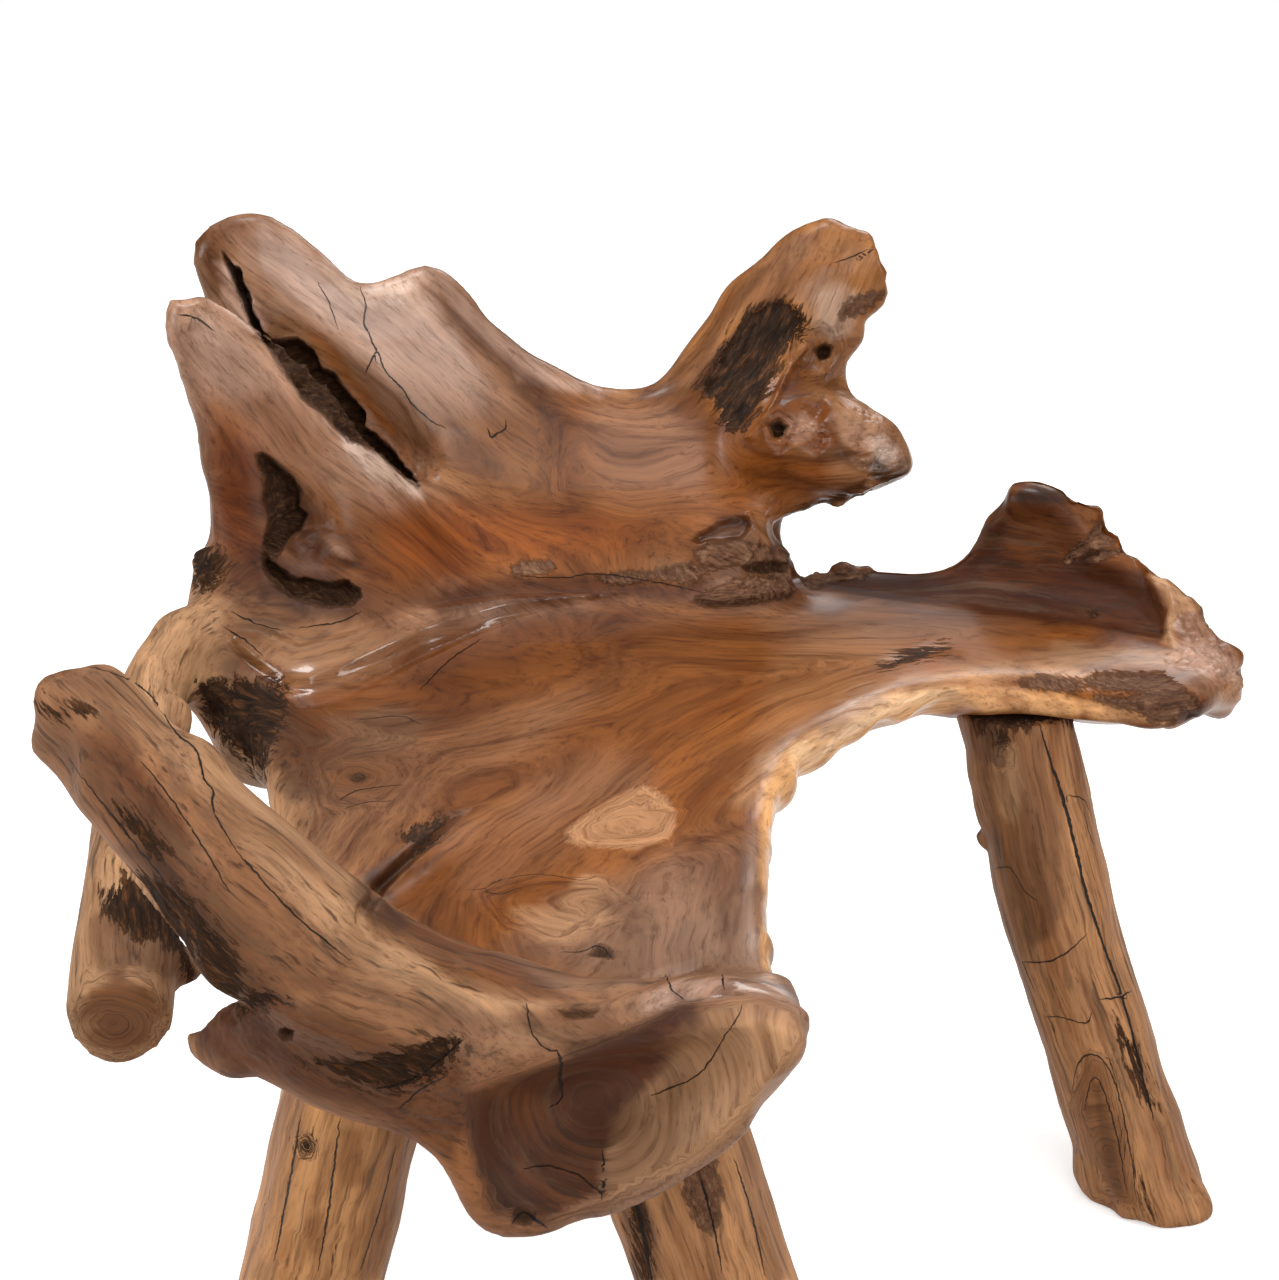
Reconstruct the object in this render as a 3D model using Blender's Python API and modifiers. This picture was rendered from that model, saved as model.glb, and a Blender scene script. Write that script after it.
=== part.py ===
# Teak root bench: one root carved to a seat, back and arms, on four splayed log legs
# Lengths are metres. X runs along the back, Y from the near end of the seat to the back, Z up.

import math

import bpy
import bmesh
import numpy as np
from mathutils import Matrix, Vector

# Seat: a band along the back, a limb towards the front and a wing to the right
seat_width = 0.90
seat_reach = 0.96
seat_height = 0.48
seat_edge_thickness = 0.035
seat_middle_thickness = 0.076
seat_edge_run = 0.11
seat_dip = 0.012
seat_dip_reach = 0.20
seat_dip_place_shares = (-0.10, -0.12)

# Near end of the limb: a raised rim over a dished, sawn end
rim_radius = 0.043
end_depth = 0.130
end_taper_share = 0.45
dish_depth = 0.034
dish_run = 0.060
dish_cut_reach = 0.060

# Back: a blade in front, a taller blade behind it that runs on to the horn
back_rise = 0.345
front_blade_thickness = 0.056
rear_blade_thickness = 0.066
blade_taper_share = 0.45
front_blade_lean_share = 0.15
rear_blade_lean_share = 0.20
blade_edge_run = 0.050
blade_edge_share = 0.62
toe_height = 0.070
toe_back_share = 0.25
horn_radius = 0.045
knob_radius = 0.038
rib_radius = 0.034
hollow_radius = 0.034

# Curled wall round the wing
curl_rise = 0.112
curl_thickness = 0.034
curl_lean_share = 0.10

# Arms: branches of the root, sawn off
front_arm_radius = 0.051
rear_arm_radius = 0.042
fin_radius = 0.036
trunk_radius = 0.046
bark_radius = 0.046
saw_reach = 0.070
saw_radius_share = 1.8
groove_radius = 0.021

# Legs: barked logs, splayed, each on a round tenon that a peg locks
leg_radius = 0.050
leg_bow = 0.010
leg_oval_share = 0.05
foot_chamfer = 0.004
leg_flare_share = 0.05
leg_rings = 10
leg_sides = 20
seat_recess = 0.012
tenon_radius = 0.017
tenon_in_seat = 0.031
tenon_in_leg = 0.085
tenon_chamfer = 0.003
peg_radius = 0.0055
peg_drop = 0.037
peg_beyond_tenon = 0.010
fit_clearance = 0.0003
cut_overrun = 0.03

# Detail of the carved surface
surface_step = 0.007
valley_reach = 0.090
valley_rounds = 90
weld_distance = 0.00003
body_triangles = 9600
smooth_rounds = 6
finish_rounds = 4

# Outlines and routes, as shares of the sizes named beside them
# Seat seen from above: x of seat_width, y of seat_reach
seat_outline_shares = [
    (-0.475, 0.13), (-0.48, 0.26), (-0.42, 0.34), (-0.24, 0.385), (-0.02, 0.405), (0.10, 0.39),
    (0.14, 0.355), (0.20, 0.355), (0.29, 0.335), (0.40, 0.295), (0.468, 0.24), (0.505, 0.18),
    (0.513, 0.14), (0.472, 0.095), (0.40, 0.095), (0.31, 0.118), (0.22, 0.102), (0.15, 0.05),
    (0.098, -0.015), (0.073, -0.12), (0.063, -0.26), (0.06, -0.38), (0.066, -0.48), (0.05, -0.56),
    (-0.03, -0.575), (-0.12, -0.585), (-0.21, -0.575), (-0.28, -0.51), (-0.315, -0.42),
    (-0.33, -0.32), (-0.342, -0.20), (-0.366, -0.11), (-0.383, -0.03), (-0.41, 0.05),
]

# Blades of the back seen from the front: x of seat_width, height over the seat of back_rise
front_blade_shares = [
    (-0.46, -0.09), (-0.457, 0.14), (-0.451, 0.27), (-0.463, 0.50), (-0.479, 0.68), (-0.498, 0.80),
    (-0.496, 0.86), (-0.467, 0.885), (-0.44, 0.85), (-0.415, 0.80), (-0.382, 0.73), (-0.337, 0.61),
    (-0.29, 0.47), (-0.256, 0.36), (-0.226, 0.22), (-0.17, 0.05), (-0.12, -0.07),
]
rear_blade_shares = [
    (-0.46, -0.10), (-0.465, 0.35), (-0.47, 0.79), (-0.476, 0.93), (-0.445, 0.98), (-0.415, 0.99),
    (-0.38, 0.945), (-0.348, 0.875), (-0.316, 0.80), (-0.29, 0.815), (-0.25, 0.85), (-0.224, 0.81),
    (-0.184, 0.68), (-0.125, 0.555), (-0.08, 0.515), (-0.035, 0.51), (0.0, 0.56), (0.028, 0.655),
    (0.06, 0.77), (0.10, 0.885), (0.142, 0.932), (0.185, 0.92), (0.211, 0.83), (0.197, 0.71),
    (0.170, 0.565), (0.165, 0.40), (0.146, 0.22), (0.108, 0.15), (0.106, 0.03), (0.09, -0.10),
]
# Where the blades stand, seen from above
front_blade_route_shares = [(-0.51, 0.165), (-0.31, 0.21), (-0.22, 0.245), (-0.11, 0.29)]
toe_route_shares = [
    (-0.51, 0.14), (-0.42, 0.115), (-0.34, 0.10), (-0.29, 0.125), (-0.21, 0.185), (-0.09, 0.235), (0.06, 0.28),
    (0.22, 0.30),
]
rear_blade_route_shares = [(-0.47, 0.27), (-0.31, 0.28), (-0.11, 0.307), (0.11, 0.343), (0.22, 0.323)]

# Wall of the wing: route from above, and height over the seat as shares of curl_rise
curl_route_shares = [
    (0.135, 0.345), (0.19, 0.352), (0.28, 0.336), (0.39, 0.295), (0.467, 0.24), (0.51, 0.185),
    (0.522, 0.14),
]
curl_height_shares = [
    (0.0, 0.14), (0.10, 0.21), (0.18, 0.18), (0.26, 0.20), (0.322, 0.48), (0.365, 0.86), (0.415, 0.98),
    (0.475, 0.95), (0.535, 0.85), (0.59, 0.70), (0.70, 0.49), (0.79, 0.33), (0.88, 0.18), (0.96, 0.0),
]

# Limbs: x of seat_width, y of seat_reach, height of seat_height, then share of the limb's radius
front_arm_shares = [
    (-0.10, -0.505, 0.99, 0.85), (-0.17, -0.526, 1.035, 1.02), (-0.229, -0.545, 1.09, 1.08),
    (-0.287, -0.537, 1.157, 1.10), (-0.334, -0.518, 1.222, 1.07), (-0.377, -0.495, 1.293, 0.96),
    (-0.424, -0.468, 1.362, 0.88), (-0.477, -0.437, 1.436, 0.86),
]
rear_arm_shares = [
    (-0.34, 0.21, 0.95, 0.70), (-0.417, 0.195, 1.035, 0.69), (-0.468, 0.15, 1.055, 0.70),
    (-0.490, 0.07, 1.02, 0.75), (-0.489, -0.03, 0.98, 0.81), (-0.479, -0.146, 0.925, 0.90),
    (-0.47, -0.25, 0.885, 0.98), (-0.466, -0.34, 0.825, 1.0), (-0.464, -0.38, 0.80, 0.96),
]
# Saw cut across the rear arm: a place on it and the way it points, both as shares
rear_arm_saw_shares = ((-0.466, -0.343, 0.823), (0.02, -0.93, -0.37))
rim_shares = [
    (-0.19, -0.55, 1.02, 1.15), (-0.12, -0.545, 1.01, 1.12), (-0.06, -0.537, 1.01, 1.0),
    (0.0, -0.527, 1.025, 0.88), (0.03, -0.527, 1.03, 0.80), (0.054, -0.535, 1.02, 0.66),
]
fin_shares = [
    (-0.17, -0.53, 0.935, 1.30), (-0.26, -0.535, 0.975, 1.15), (-0.325, -0.51, 0.988, 0.88),
    (-0.385, -0.48, 0.945, 0.28),
]
trunk_shares = [(-0.06, -0.05, 0.84, 0.9), (-0.07, -0.25, 0.83, 1.0), (-0.06, -0.45, 0.86, 1.2)]
horn_shares = [(-0.02, 0.395, 1.25, 0.80), (0.07, 0.425, 1.45, 1.0), (0.148, 0.44, 1.57, 0.92)]
knob_shares = [
    (0.06, 0.385, 1.26, 1.55), (0.13, 0.365, 1.28, 1.40), (0.175, 0.35, 1.258, 1.26), (0.204, 0.34, 1.246, 0.92),
    (0.223, 0.335, 1.246, 0.44),
]
ledge_shares = [
    (-0.10, 0.31, 1.05, 0.30), (-0.02, 0.315, 1.075, 0.62), (0.06, 0.325, 1.10, 0.84), (0.10, 0.335, 1.12, 0.75),
]
ledge_foot_shares = [(-0.05, 0.30, 1.01, 0.45), (0.04, 0.30, 1.03, 0.66), (0.112, 0.325, 1.045, 0.60)]
left_rib_shares = [(-0.40, 0.375, 1.60, 0.5), (-0.29, 0.365, 1.25, 1.1), (-0.14, 0.34, 0.93, 1.4)]
right_rib_shares = [(0.12, 0.44, 1.50, 0.7), (0.03, 0.40, 1.25, 1.2), (-0.07, 0.35, 0.93, 1.5)]
heel_shares = [
    (-0.42, 0.27, 0.945, 0.9), (-0.25, 0.345, 0.93, 1.3), (-0.02, 0.365, 0.925, 1.4), (0.09, 0.35, 0.94, 1.0),
]
bark_shares = [(-0.42, 0.15, 0.93, 0.9), (-0.398, 0.07, 0.91, 0.75), (-0.37, 0.01, 0.93, 0.5)]

# Near end seen from the front: x of seat_width, height of seat_height; front face in seat_reach
end_outline_shares = [
    (-0.207, 0.905), (-0.186, 0.82), (-0.143, 0.722), (-0.075, 0.75), (0.0, 0.83), (0.06, 0.955),
    (0.082, 1.035), (0.06, 1.085), (0.0, 1.06), (-0.08, 1.03), (-0.15, 1.0),
]
end_face_share = -0.582
end_root_share = 0.98

# Cuts: places as for the limbs, then the cut's half sizes as shares of hollow_radius
hollow_shares = [
    ((-0.365, 0.205, 1.25), (0.75, 0.80, 1.35), math.radians(-20)),
    ((-0.335, 0.20, 1.085), (1.10, 0.80, 0.55), math.radians(-6)),
    ((0.125, 0.385, 1.43), (0.40, 0.40, 0.60), math.radians(14)),
    ((-0.335, 0.318, 1.39), (0.95, 1.00, 3.2), math.radians(-44)),
]
groove_shares = [
    (-0.17, -0.135, 1.005, 0.5), (-0.21, -0.205, 1.0, 0.9), (-0.245, -0.27, 0.998, 1.0),
    (-0.268, -0.33, 0.995, 0.9), (-0.273, -0.36, 1.005, 0.5),
]
# Dish in the near end, seen from the front: x of seat_width, height of seat_height
dish_outline_shares = [
    (-0.168, 0.99), (-0.184, 0.92), (-0.172, 0.83), (-0.135, 0.77), (-0.07, 0.795), (0.0, 0.865),
    (0.05, 0.95), (0.068, 1.03), (0.055, 1.085), (0.015, 1.095), (-0.035, 1.075), (-0.085, 1.045), (-0.13, 1.02),
]

# Valleys that are worn soft: seat to back, front blade to rear blade, round the knob and the arm's root
valley_shares = [
    [(-0.44, 0.13, 1.02), (-0.34, 0.10, 1.03), (-0.21, 0.185, 1.03), (-0.09, 0.235, 1.03), (0.06, 0.28, 1.04)],
    [(-0.275, 0.265, 1.30), (-0.235, 0.265, 1.18), (-0.19, 0.26, 1.06)],
    [(0.06, 0.37, 1.42), (0.15, 0.38, 1.40)],
    [(0.06, 0.33, 1.17), (0.13, 0.34, 1.17)],
    [(-0.20, -0.50, 1.03), (-0.10, -0.50, 1.02), (0.0, -0.49, 1.02)],
    [(0.17, 0.325, 1.02), (0.30, 0.30, 1.02), (0.43, 0.24, 1.02), (0.48, 0.17, 1.02)],
]

# Legs: foot and top seen from above, then share of leg_radius
leg_shares = {
    "right": ((0.459, 0.078), (0.314, 0.172), 1.01),
    "front_left": ((-0.366, -0.375), (-0.250, -0.427), 1.04),
    "front_centre": ((0.075, -0.435), (-0.041, -0.455), 1.06),
    "back_left": ((-0.335, 0.335), (-0.235, 0.215), 1.0),
}
# Which way each leg's peg points and which way the log bows
peg_ways = {
    "right": math.radians(-121), "front_left": math.radians(200), "front_centre": math.radians(-70),
    "back_left": math.radians(100),
}
bow_ways = {
    "right": math.radians(190), "front_left": math.radians(90), "front_centre": math.radians(30),
    "back_left": math.radians(150),
}


def start_collections():
    """Empty the scene and make the two collections."""
    for thing in list(bpy.data.objects):
        bpy.data.objects.remove(thing, do_unlink=True)
    made = []
    for name in ("teak_root_bench", "cutters"):
        group = bpy.data.collections.new(name)
        bpy.context.scene.collection.children.link(group)
        made.append(group)
    return made


parts_group, cutter_group = start_collections()


def wood(name, colour, roughness):
    material = bpy.data.materials.new(name)
    material.use_nodes = True
    shader = material.node_tree.nodes["Principled BSDF"]
    shader.inputs["Base Color"].default_value = (*colour, 1.0)
    shader.inputs["Roughness"].default_value = roughness
    shader.inputs["Metallic"].default_value = 0.0
    return material


def add_object(name, mesh, group=parts_group, material=None):
    thing = bpy.data.objects.new(name, mesh)
    group.objects.link(thing)
    if material:
        mesh.materials.clear()
        mesh.materials.append(material)
    return thing


def bake(thing, name=None):
    """Replace an object by a mesh object of what its modifiers make of it, curve caps welded."""
    bpy.context.view_layer.update()
    seen = thing.evaluated_get(bpy.context.evaluated_depsgraph_get())
    mesh = bpy.data.meshes.new_from_object(seen)
    place = thing.matrix_world.copy()
    name = name or thing.name
    bpy.data.objects.remove(thing, do_unlink=True)
    mesh.transform(place)
    shape = bmesh.new()
    shape.from_mesh(mesh)
    bmesh.ops.remove_doubles(shape, verts=shape.verts, dist=weld_distance)
    shape.to_mesh(mesh)
    shape.free()
    return add_object(name, mesh, cutter_group)


def at(shares):
    """Point from shares of the seat's width, its reach and its height."""
    return Vector((shares[0] * seat_width, shares[1] * seat_reach, shares[2] * seat_height))


def remeshed(thing, step):
    change = thing.modifiers.new("even skin", "REMESH")
    change.mode = "VOXEL"
    change.voxel_size = step
    return bake(thing)


def board(name, outline, thickness):
    """Flat board: a smooth closed outline, extruded, with an even skin that can be bent."""
    curve = bpy.data.curves.new(name, "CURVE")
    curve.dimensions = "2D"
    curve.fill_mode = "BOTH"
    curve.extrude = thickness / 2
    spline = curve.splines.new("BEZIER")
    spline.bezier_points.add(len(outline) - 1)
    for point, place in zip(spline.bezier_points, outline):
        point.co = (place[0], place[1], 0)
        point.handle_left_type = "AUTO"
        point.handle_right_type = "AUTO"
    spline.use_cyclic_u = True
    spline.resolution_u = 4
    flat = bpy.data.objects.new(name, curve)
    cutter_group.objects.link(flat)
    return remeshed(bake(flat), surface_step)


def limb(name, shares, radius):
    """Tapered branch along a smooth route, with rounded ends."""
    curve = bpy.data.curves.new(name, "CURVE")
    curve.dimensions = "3D"
    curve.bevel_depth = radius
    curve.bevel_resolution = 3
    curve.use_fill_caps = True
    spline = curve.splines.new("BEZIER")
    spline.bezier_points.add(len(shares) - 1)
    for point, place in zip(spline.bezier_points, shares):
        point.co = at(place)
        point.radius = place[3]
        point.handle_left_type = "AUTO"
        point.handle_right_type = "AUTO"
    spline.resolution_u = 6
    branch = bpy.data.objects.new(name, curve)
    cutter_group.objects.link(branch)
    return bake(branch)


def ball(name, center, half_sizes, tilt=0.0):
    shape = bmesh.new()
    bmesh.ops.create_uvsphere(shape, u_segments=32, v_segments=20, radius=1.0)
    mesh = bpy.data.meshes.new(name)
    shape.to_mesh(mesh)
    shape.free()
    scale = Matrix.Diagonal((*half_sizes, 1.0))
    mesh.transform(Matrix.Translation(center) @ Matrix.Rotation(tilt, 4, "Y") @ scale)
    return add_object(name, mesh, cutter_group)


def read_points(thing):
    points = np.empty(len(thing.data.vertices) * 3, dtype=np.float32)
    thing.data.vertices.foreach_get("co", points)
    return points.reshape(-1, 3).astype(float)


def write_points(thing, points):
    thing.data.vertices.foreach_set("co", points.astype(np.float32).ravel())
    thing.data.update()


def smooth_step(low, high, value):
    share = np.clip((value - low) / (high - low), 0.0, 1.0)
    return share * share * (3 - 2 * share)


def route_distance(points, route):
    """Distance from points to a route, in as many directions as its places have."""
    nearest = np.full(len(points), np.inf)
    for start, end in zip(route, route[1:]):
        run = np.array(end) - np.array(start)
        along = np.clip((points - np.array(start)) @ run / (run @ run), 0.0, 1.0)
        away = np.linalg.norm(points - np.array(start) - along[:, None] * run, axis=1)
        nearest = np.minimum(nearest, away)
    return nearest


def edge_distance(x, y, outline):
    """Distance from points to a closed outline."""
    return route_distance(np.stack([x, y], -1), outline + outline[:1])


def seat_top(x, y):
    """Height of the sitting surface: dished a little where one sits."""
    dip_x = seat_dip_place_shares[0] * seat_width
    dip_y = seat_dip_place_shares[1] * seat_reach
    away = np.hypot(x - dip_x, y - dip_y)
    return seat_height - seat_dip * np.exp(-(away / seat_dip_reach) ** 2)


def build_seat():
    outline = [(x * seat_width, y * seat_reach) for x, y in seat_outline_shares]
    seat = board("seat", outline, seat_edge_thickness)
    points = read_points(seat)
    x, y, z = points.T
    through = z / seat_edge_thickness + 0.5
    inward = smooth_step(0.0, seat_edge_run, edge_distance(x, y, outline))
    thickness = seat_edge_thickness + (seat_middle_thickness - seat_edge_thickness) * inward
    points[:, 2] = seat_top(x, y) - (1 - through) * thickness
    write_points(seat, points)
    return seat


def follow(x, route_shares):
    """Where a route runs, front to back, at each place along the bench."""
    route = np.array(route_shares)
    return np.interp(x, route[:, 0] * seat_width, route[:, 1] * seat_reach)


def build_blade(name, shares, route_shares, lean, thickness):
    """Blade of the back: an upright board bent along a route, leaned back, with a toe that sweeps
    into the seat and thinner at its top and edges."""
    outline = [(x * seat_width, rise * back_rise) for x, rise in shares]
    blade = board(name, outline, thickness)
    points = read_points(blade)
    x, rise, through = points.T
    inward = smooth_step(0.0, blade_edge_run, edge_distance(x, rise, outline))
    full = blade_edge_share + (1 - blade_edge_share) * inward
    full = full * (1 - blade_taper_share * np.clip(rise / back_rise, 0.0, 1.0))
    middle = follow(x, route_shares) + thickness / 2 + lean * rise
    toe = np.exp(-(np.maximum(rise, 0.0) / toe_height) ** 2)
    sweep = toe * (follow(x, toe_route_shares) - follow(x, route_shares))
    front_share = through / thickness + 0.5
    sweep = sweep * (toe_back_share + (1 - toe_back_share) * front_share)
    write_points(blade, np.stack([x, middle + sweep - through * full, rise + seat_height], -1))
    return blade


def build_curl():
    """Wall round the wing: a board whose height follows a profile, bent along its route."""
    route = np.array([(x * seat_width, y * seat_reach) for x, y in curl_route_shares])
    steps = np.hypot(*np.diff(route, axis=0).T)
    reached = np.concatenate([[0.0], np.cumsum(steps)])
    length = reached[-1]
    profile = [(s * length, rise * curl_rise) for s, rise in curl_height_shares]
    foot = -seat_edge_thickness
    curl = board("curl", profile + [(length, foot), (0.5 * length, foot), (0.0, foot)], curl_thickness)
    points = read_points(curl)
    along, rise, through = points.T
    x = np.interp(along, reached, route[:, 0])
    y = np.interp(along, reached, route[:, 1])
    run_x, run_y = np.diff(route, axis=0).T
    heading = np.unwrap(np.arctan2(run_y, run_x))
    turn = np.interp(along, (reached[1:] + reached[:-1]) / 2, heading)
    outward = through + np.maximum(rise, 0.0) * curl_lean_share
    x = x - outward * np.sin(turn)
    y = y + outward * np.cos(turn)
    write_points(curl, np.stack([x, y, rise + seat_height], -1))
    return curl


def build_near_end():
    """Block behind the sawn end: its outline pushed back under the seat, shallower as it goes."""
    outline = [(x * seat_width, height * seat_height) for x, height in end_outline_shares]
    block = board("near end", outline, end_depth)
    points = read_points(block)
    x, height, through = points.T
    back_share = 0.5 - through / end_depth
    root = end_root_share * seat_height
    height = root + (height - root) * (1 - end_taper_share * back_share)
    write_points(block, np.stack([x, end_face_share * seat_reach + back_share * end_depth, height], -1))
    return block


def join(name, things):
    """One mesh of several closed shapes, still lapping each other."""
    shape = bmesh.new()
    for thing in things:
        shape.from_mesh(thing.data)
        bpy.data.objects.remove(thing, do_unlink=True)
    mesh = bpy.data.meshes.new(name)
    shape.to_mesh(mesh)
    shape.free()
    return add_object(name, mesh, cutter_group)


def cut(thing, cutter):
    change = thing.modifiers.new("cut", "BOOLEAN")
    change.operation = "DIFFERENCE"
    change.solver = "EXACT"
    change.object = cutter
    cutter.hide_render = True
    cutter.display_type = "WIRE"


def smooth(thing, rounds):
    change = thing.modifiers.new("smooth", "SMOOTH")
    change.factor = 0.5
    change.iterations = rounds
    return change


def soften_valleys(thing):
    """Sand the valleys between the forms soft, and leave the rest as it is."""
    points = read_points(thing)
    nearest = np.full(len(points), np.inf)
    for valley in valley_shares:
        nearest = np.minimum(nearest, route_distance(points, [tuple(at(place)) for place in valley]))
    weights = 1 - smooth_step(valley_reach / 3, valley_reach, nearest)
    group = thing.vertex_groups.new(name="valleys")
    for index in np.nonzero(weights)[0]:
        group.add([int(index)], weights[index], "REPLACE")
    smooth(thing, valley_rounds).vertex_group = group.name


def build_dish():
    """Cutter for the dish: flat outside the wood, swelling into it inside the dish's outline."""
    outline = [(x * seat_width, height * seat_height) for x, height in dish_outline_shares]
    cutter = board("dish", outline, dish_cut_reach)
    points = read_points(cutter)
    x, height, through = points.T
    inward = smooth_step(0.0, dish_run, edge_distance(x, height, outline))
    back_share = 0.5 - through / dish_cut_reach
    face = end_face_share * seat_reach
    depth = (back_share - 1) * dish_cut_reach + back_share * dish_depth * inward
    write_points(cutter, np.stack([x, face + depth, height], -1))
    return cutter


def carve_body():
    """The whole root: its forms laid together, grown into one skin, hollowed and smoothed."""
    things = [
        build_seat(),
        build_blade("front blade", front_blade_shares, front_blade_route_shares, front_blade_lean_share,
                    front_blade_thickness),
        build_blade("rear blade", rear_blade_shares, rear_blade_route_shares, rear_blade_lean_share,
                    rear_blade_thickness),
        build_curl(),
        build_near_end(),
        limb("front arm", front_arm_shares, front_arm_radius),
        limb("rear arm", rear_arm_shares, rear_arm_radius),
        limb("rim", rim_shares, rim_radius),
        limb("fin", fin_shares, fin_radius),
        limb("trunk", trunk_shares, trunk_radius),
        limb("horn", horn_shares, horn_radius),
        limb("knob", knob_shares, knob_radius),
        limb("ledge", ledge_shares, knob_radius),
        limb("ledge foot", ledge_foot_shares, knob_radius),
        limb("left rib", left_rib_shares, rib_radius),
        limb("right rib", right_rib_shares, rib_radius),
        limb("heel", heel_shares, rib_radius),
        limb("bark", bark_shares, bark_radius),
    ]
    body = remeshed(join("root_body", things), surface_step)
    smooth(body, smooth_rounds)
    soften_valleys(body)
    body = bake(body)
    hollows = [build_dish(), limb("groove", groove_shares, groove_radius)]
    for center, half_shares, tilt in hollow_shares:
        half_sizes = [share * hollow_radius for share in half_shares]
        hollows.append(ball("hollow", at(center), half_sizes, tilt))
    for hollow in hollows:
        cut(body, hollow)
    body = remeshed(body, surface_step)
    smooth(body, finish_rounds)
    body = bake(body)
    faces = sum(len(face.vertices) - 2 for face in body.data.polygons)
    thin = body.modifiers.new("fewer faces", "DECIMATE")
    thin.ratio = min(1.0, body_triangles / faces)
    body = bake(body)
    place_shares, way_shares = rear_arm_saw_shares
    sawn = at(place_shares)
    cut(body, cylinder("rear arm saw", sawn, sawn + Vector(way_shares) * saw_reach,
                       rear_arm_radius * saw_radius_share, cutter_group))
    return body


def log_mesh(name, foot, top, radius, bow_way):
    """Log from below the floor to above its seat, a little bowed and oval, to be sawn level."""
    shape = bmesh.new()
    axis = (top - foot).normalized()
    bow = Vector((math.cos(bow_way), math.sin(bow_way), 0.0))
    bow = (bow - axis * bow.dot(axis)).normalized()
    other = axis.cross(bow)
    start = foot - axis * radius
    run = (top - foot) + axis * radius * 2
    previous = []
    for ring in range(leg_rings):
        share = ring / (leg_rings - 1)
        center = start + run * share + bow * leg_bow * math.sin(math.pi * share)
        flare = 1 + leg_flare_share * (1 - share)
        current = []
        for step in range(leg_sides):
            angle = math.tau * step / leg_sides
            wave = math.cos(2 * angle + bow_way) + math.sin(3 * angle + 4 * share + bow_way) / 2
            wave += math.sin(7 * share + bow_way + angle) / 2
            reach = radius * (1 + leg_oval_share * wave) * flare
            outward = bow * math.cos(angle) + other * math.sin(angle)
            current.append(shape.verts.new(center + outward * reach))
        for step in range(leg_sides if previous else 0):
            after = (step + 1) % leg_sides
            shape.faces.new((previous[step], previous[after], current[after], current[step]))
        if ring == 0:
            shape.faces.new(list(reversed(current)))
        previous = current
    shape.faces.new(previous)
    mesh = bpy.data.meshes.new(name)
    shape.to_mesh(mesh)
    shape.free()
    return mesh


def saw(mesh, height, keep_above, chamfer=0.0):
    """Saw a log flat and level at a height, close the sawn face and ease its rim."""
    shape = bmesh.new()
    shape.from_mesh(mesh)
    everything = list(shape.verts) + list(shape.edges) + list(shape.faces)
    sawn = bmesh.ops.bisect_plane(shape, geom=everything, plane_co=(0, 0, height), plane_no=(0, 0, 1),
                                  clear_inner=keep_above, clear_outer=not keep_above)
    rim = [item for item in sawn["geom_cut"] if isinstance(item, bmesh.types.BMEdge)]
    bmesh.ops.edgenet_fill(shape, edges=rim)
    if chamfer:
        bmesh.ops.bevel(shape, geom=rim, offset=chamfer, segments=1, affect="EDGES", profile=0.5)
    bmesh.ops.recalc_face_normals(shape, faces=shape.faces)
    shape.to_mesh(mesh)
    shape.free()


def cylinder(name, start, end, radius, group, sides=24, chamfer=0.0):
    """Closed cylinder between two points, its ends chamfered where asked."""
    run = end - start
    shape = bmesh.new()
    bmesh.ops.create_cone(shape, cap_ends=True, segments=sides, radius1=radius, radius2=radius,
                          depth=run.length)
    if chamfer:
        rims = [edge for edge in shape.edges if abs(edge.verts[0].co.z - edge.verts[1].co.z) < chamfer]
        bmesh.ops.bevel(shape, geom=rims, offset=chamfer, segments=1, affect="EDGES", profile=0.5)
    mesh = bpy.data.meshes.new(name)
    shape.to_mesh(mesh)
    shape.free()
    mesh.transform(run.to_track_quat("Z", "Y").to_matrix().to_4x4())
    mesh.transform(Matrix.Translation((start + end) / 2))
    return add_object(name, mesh, group)


def under_height(place, body):
    """Height of the underside of the root over a place, found by looking up from the floor."""
    hit, spot, normal, index = body.ray_cast(Vector((place[0], place[1], 0.0)), Vector((0, 0, 1)))
    return spot.z if hit else seat_height - seat_middle_thickness


def round_smooth(thing):
    thing.data.shade_smooth()
    thing.data.set_sharp_from_angle(angle=math.radians(35))


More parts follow.
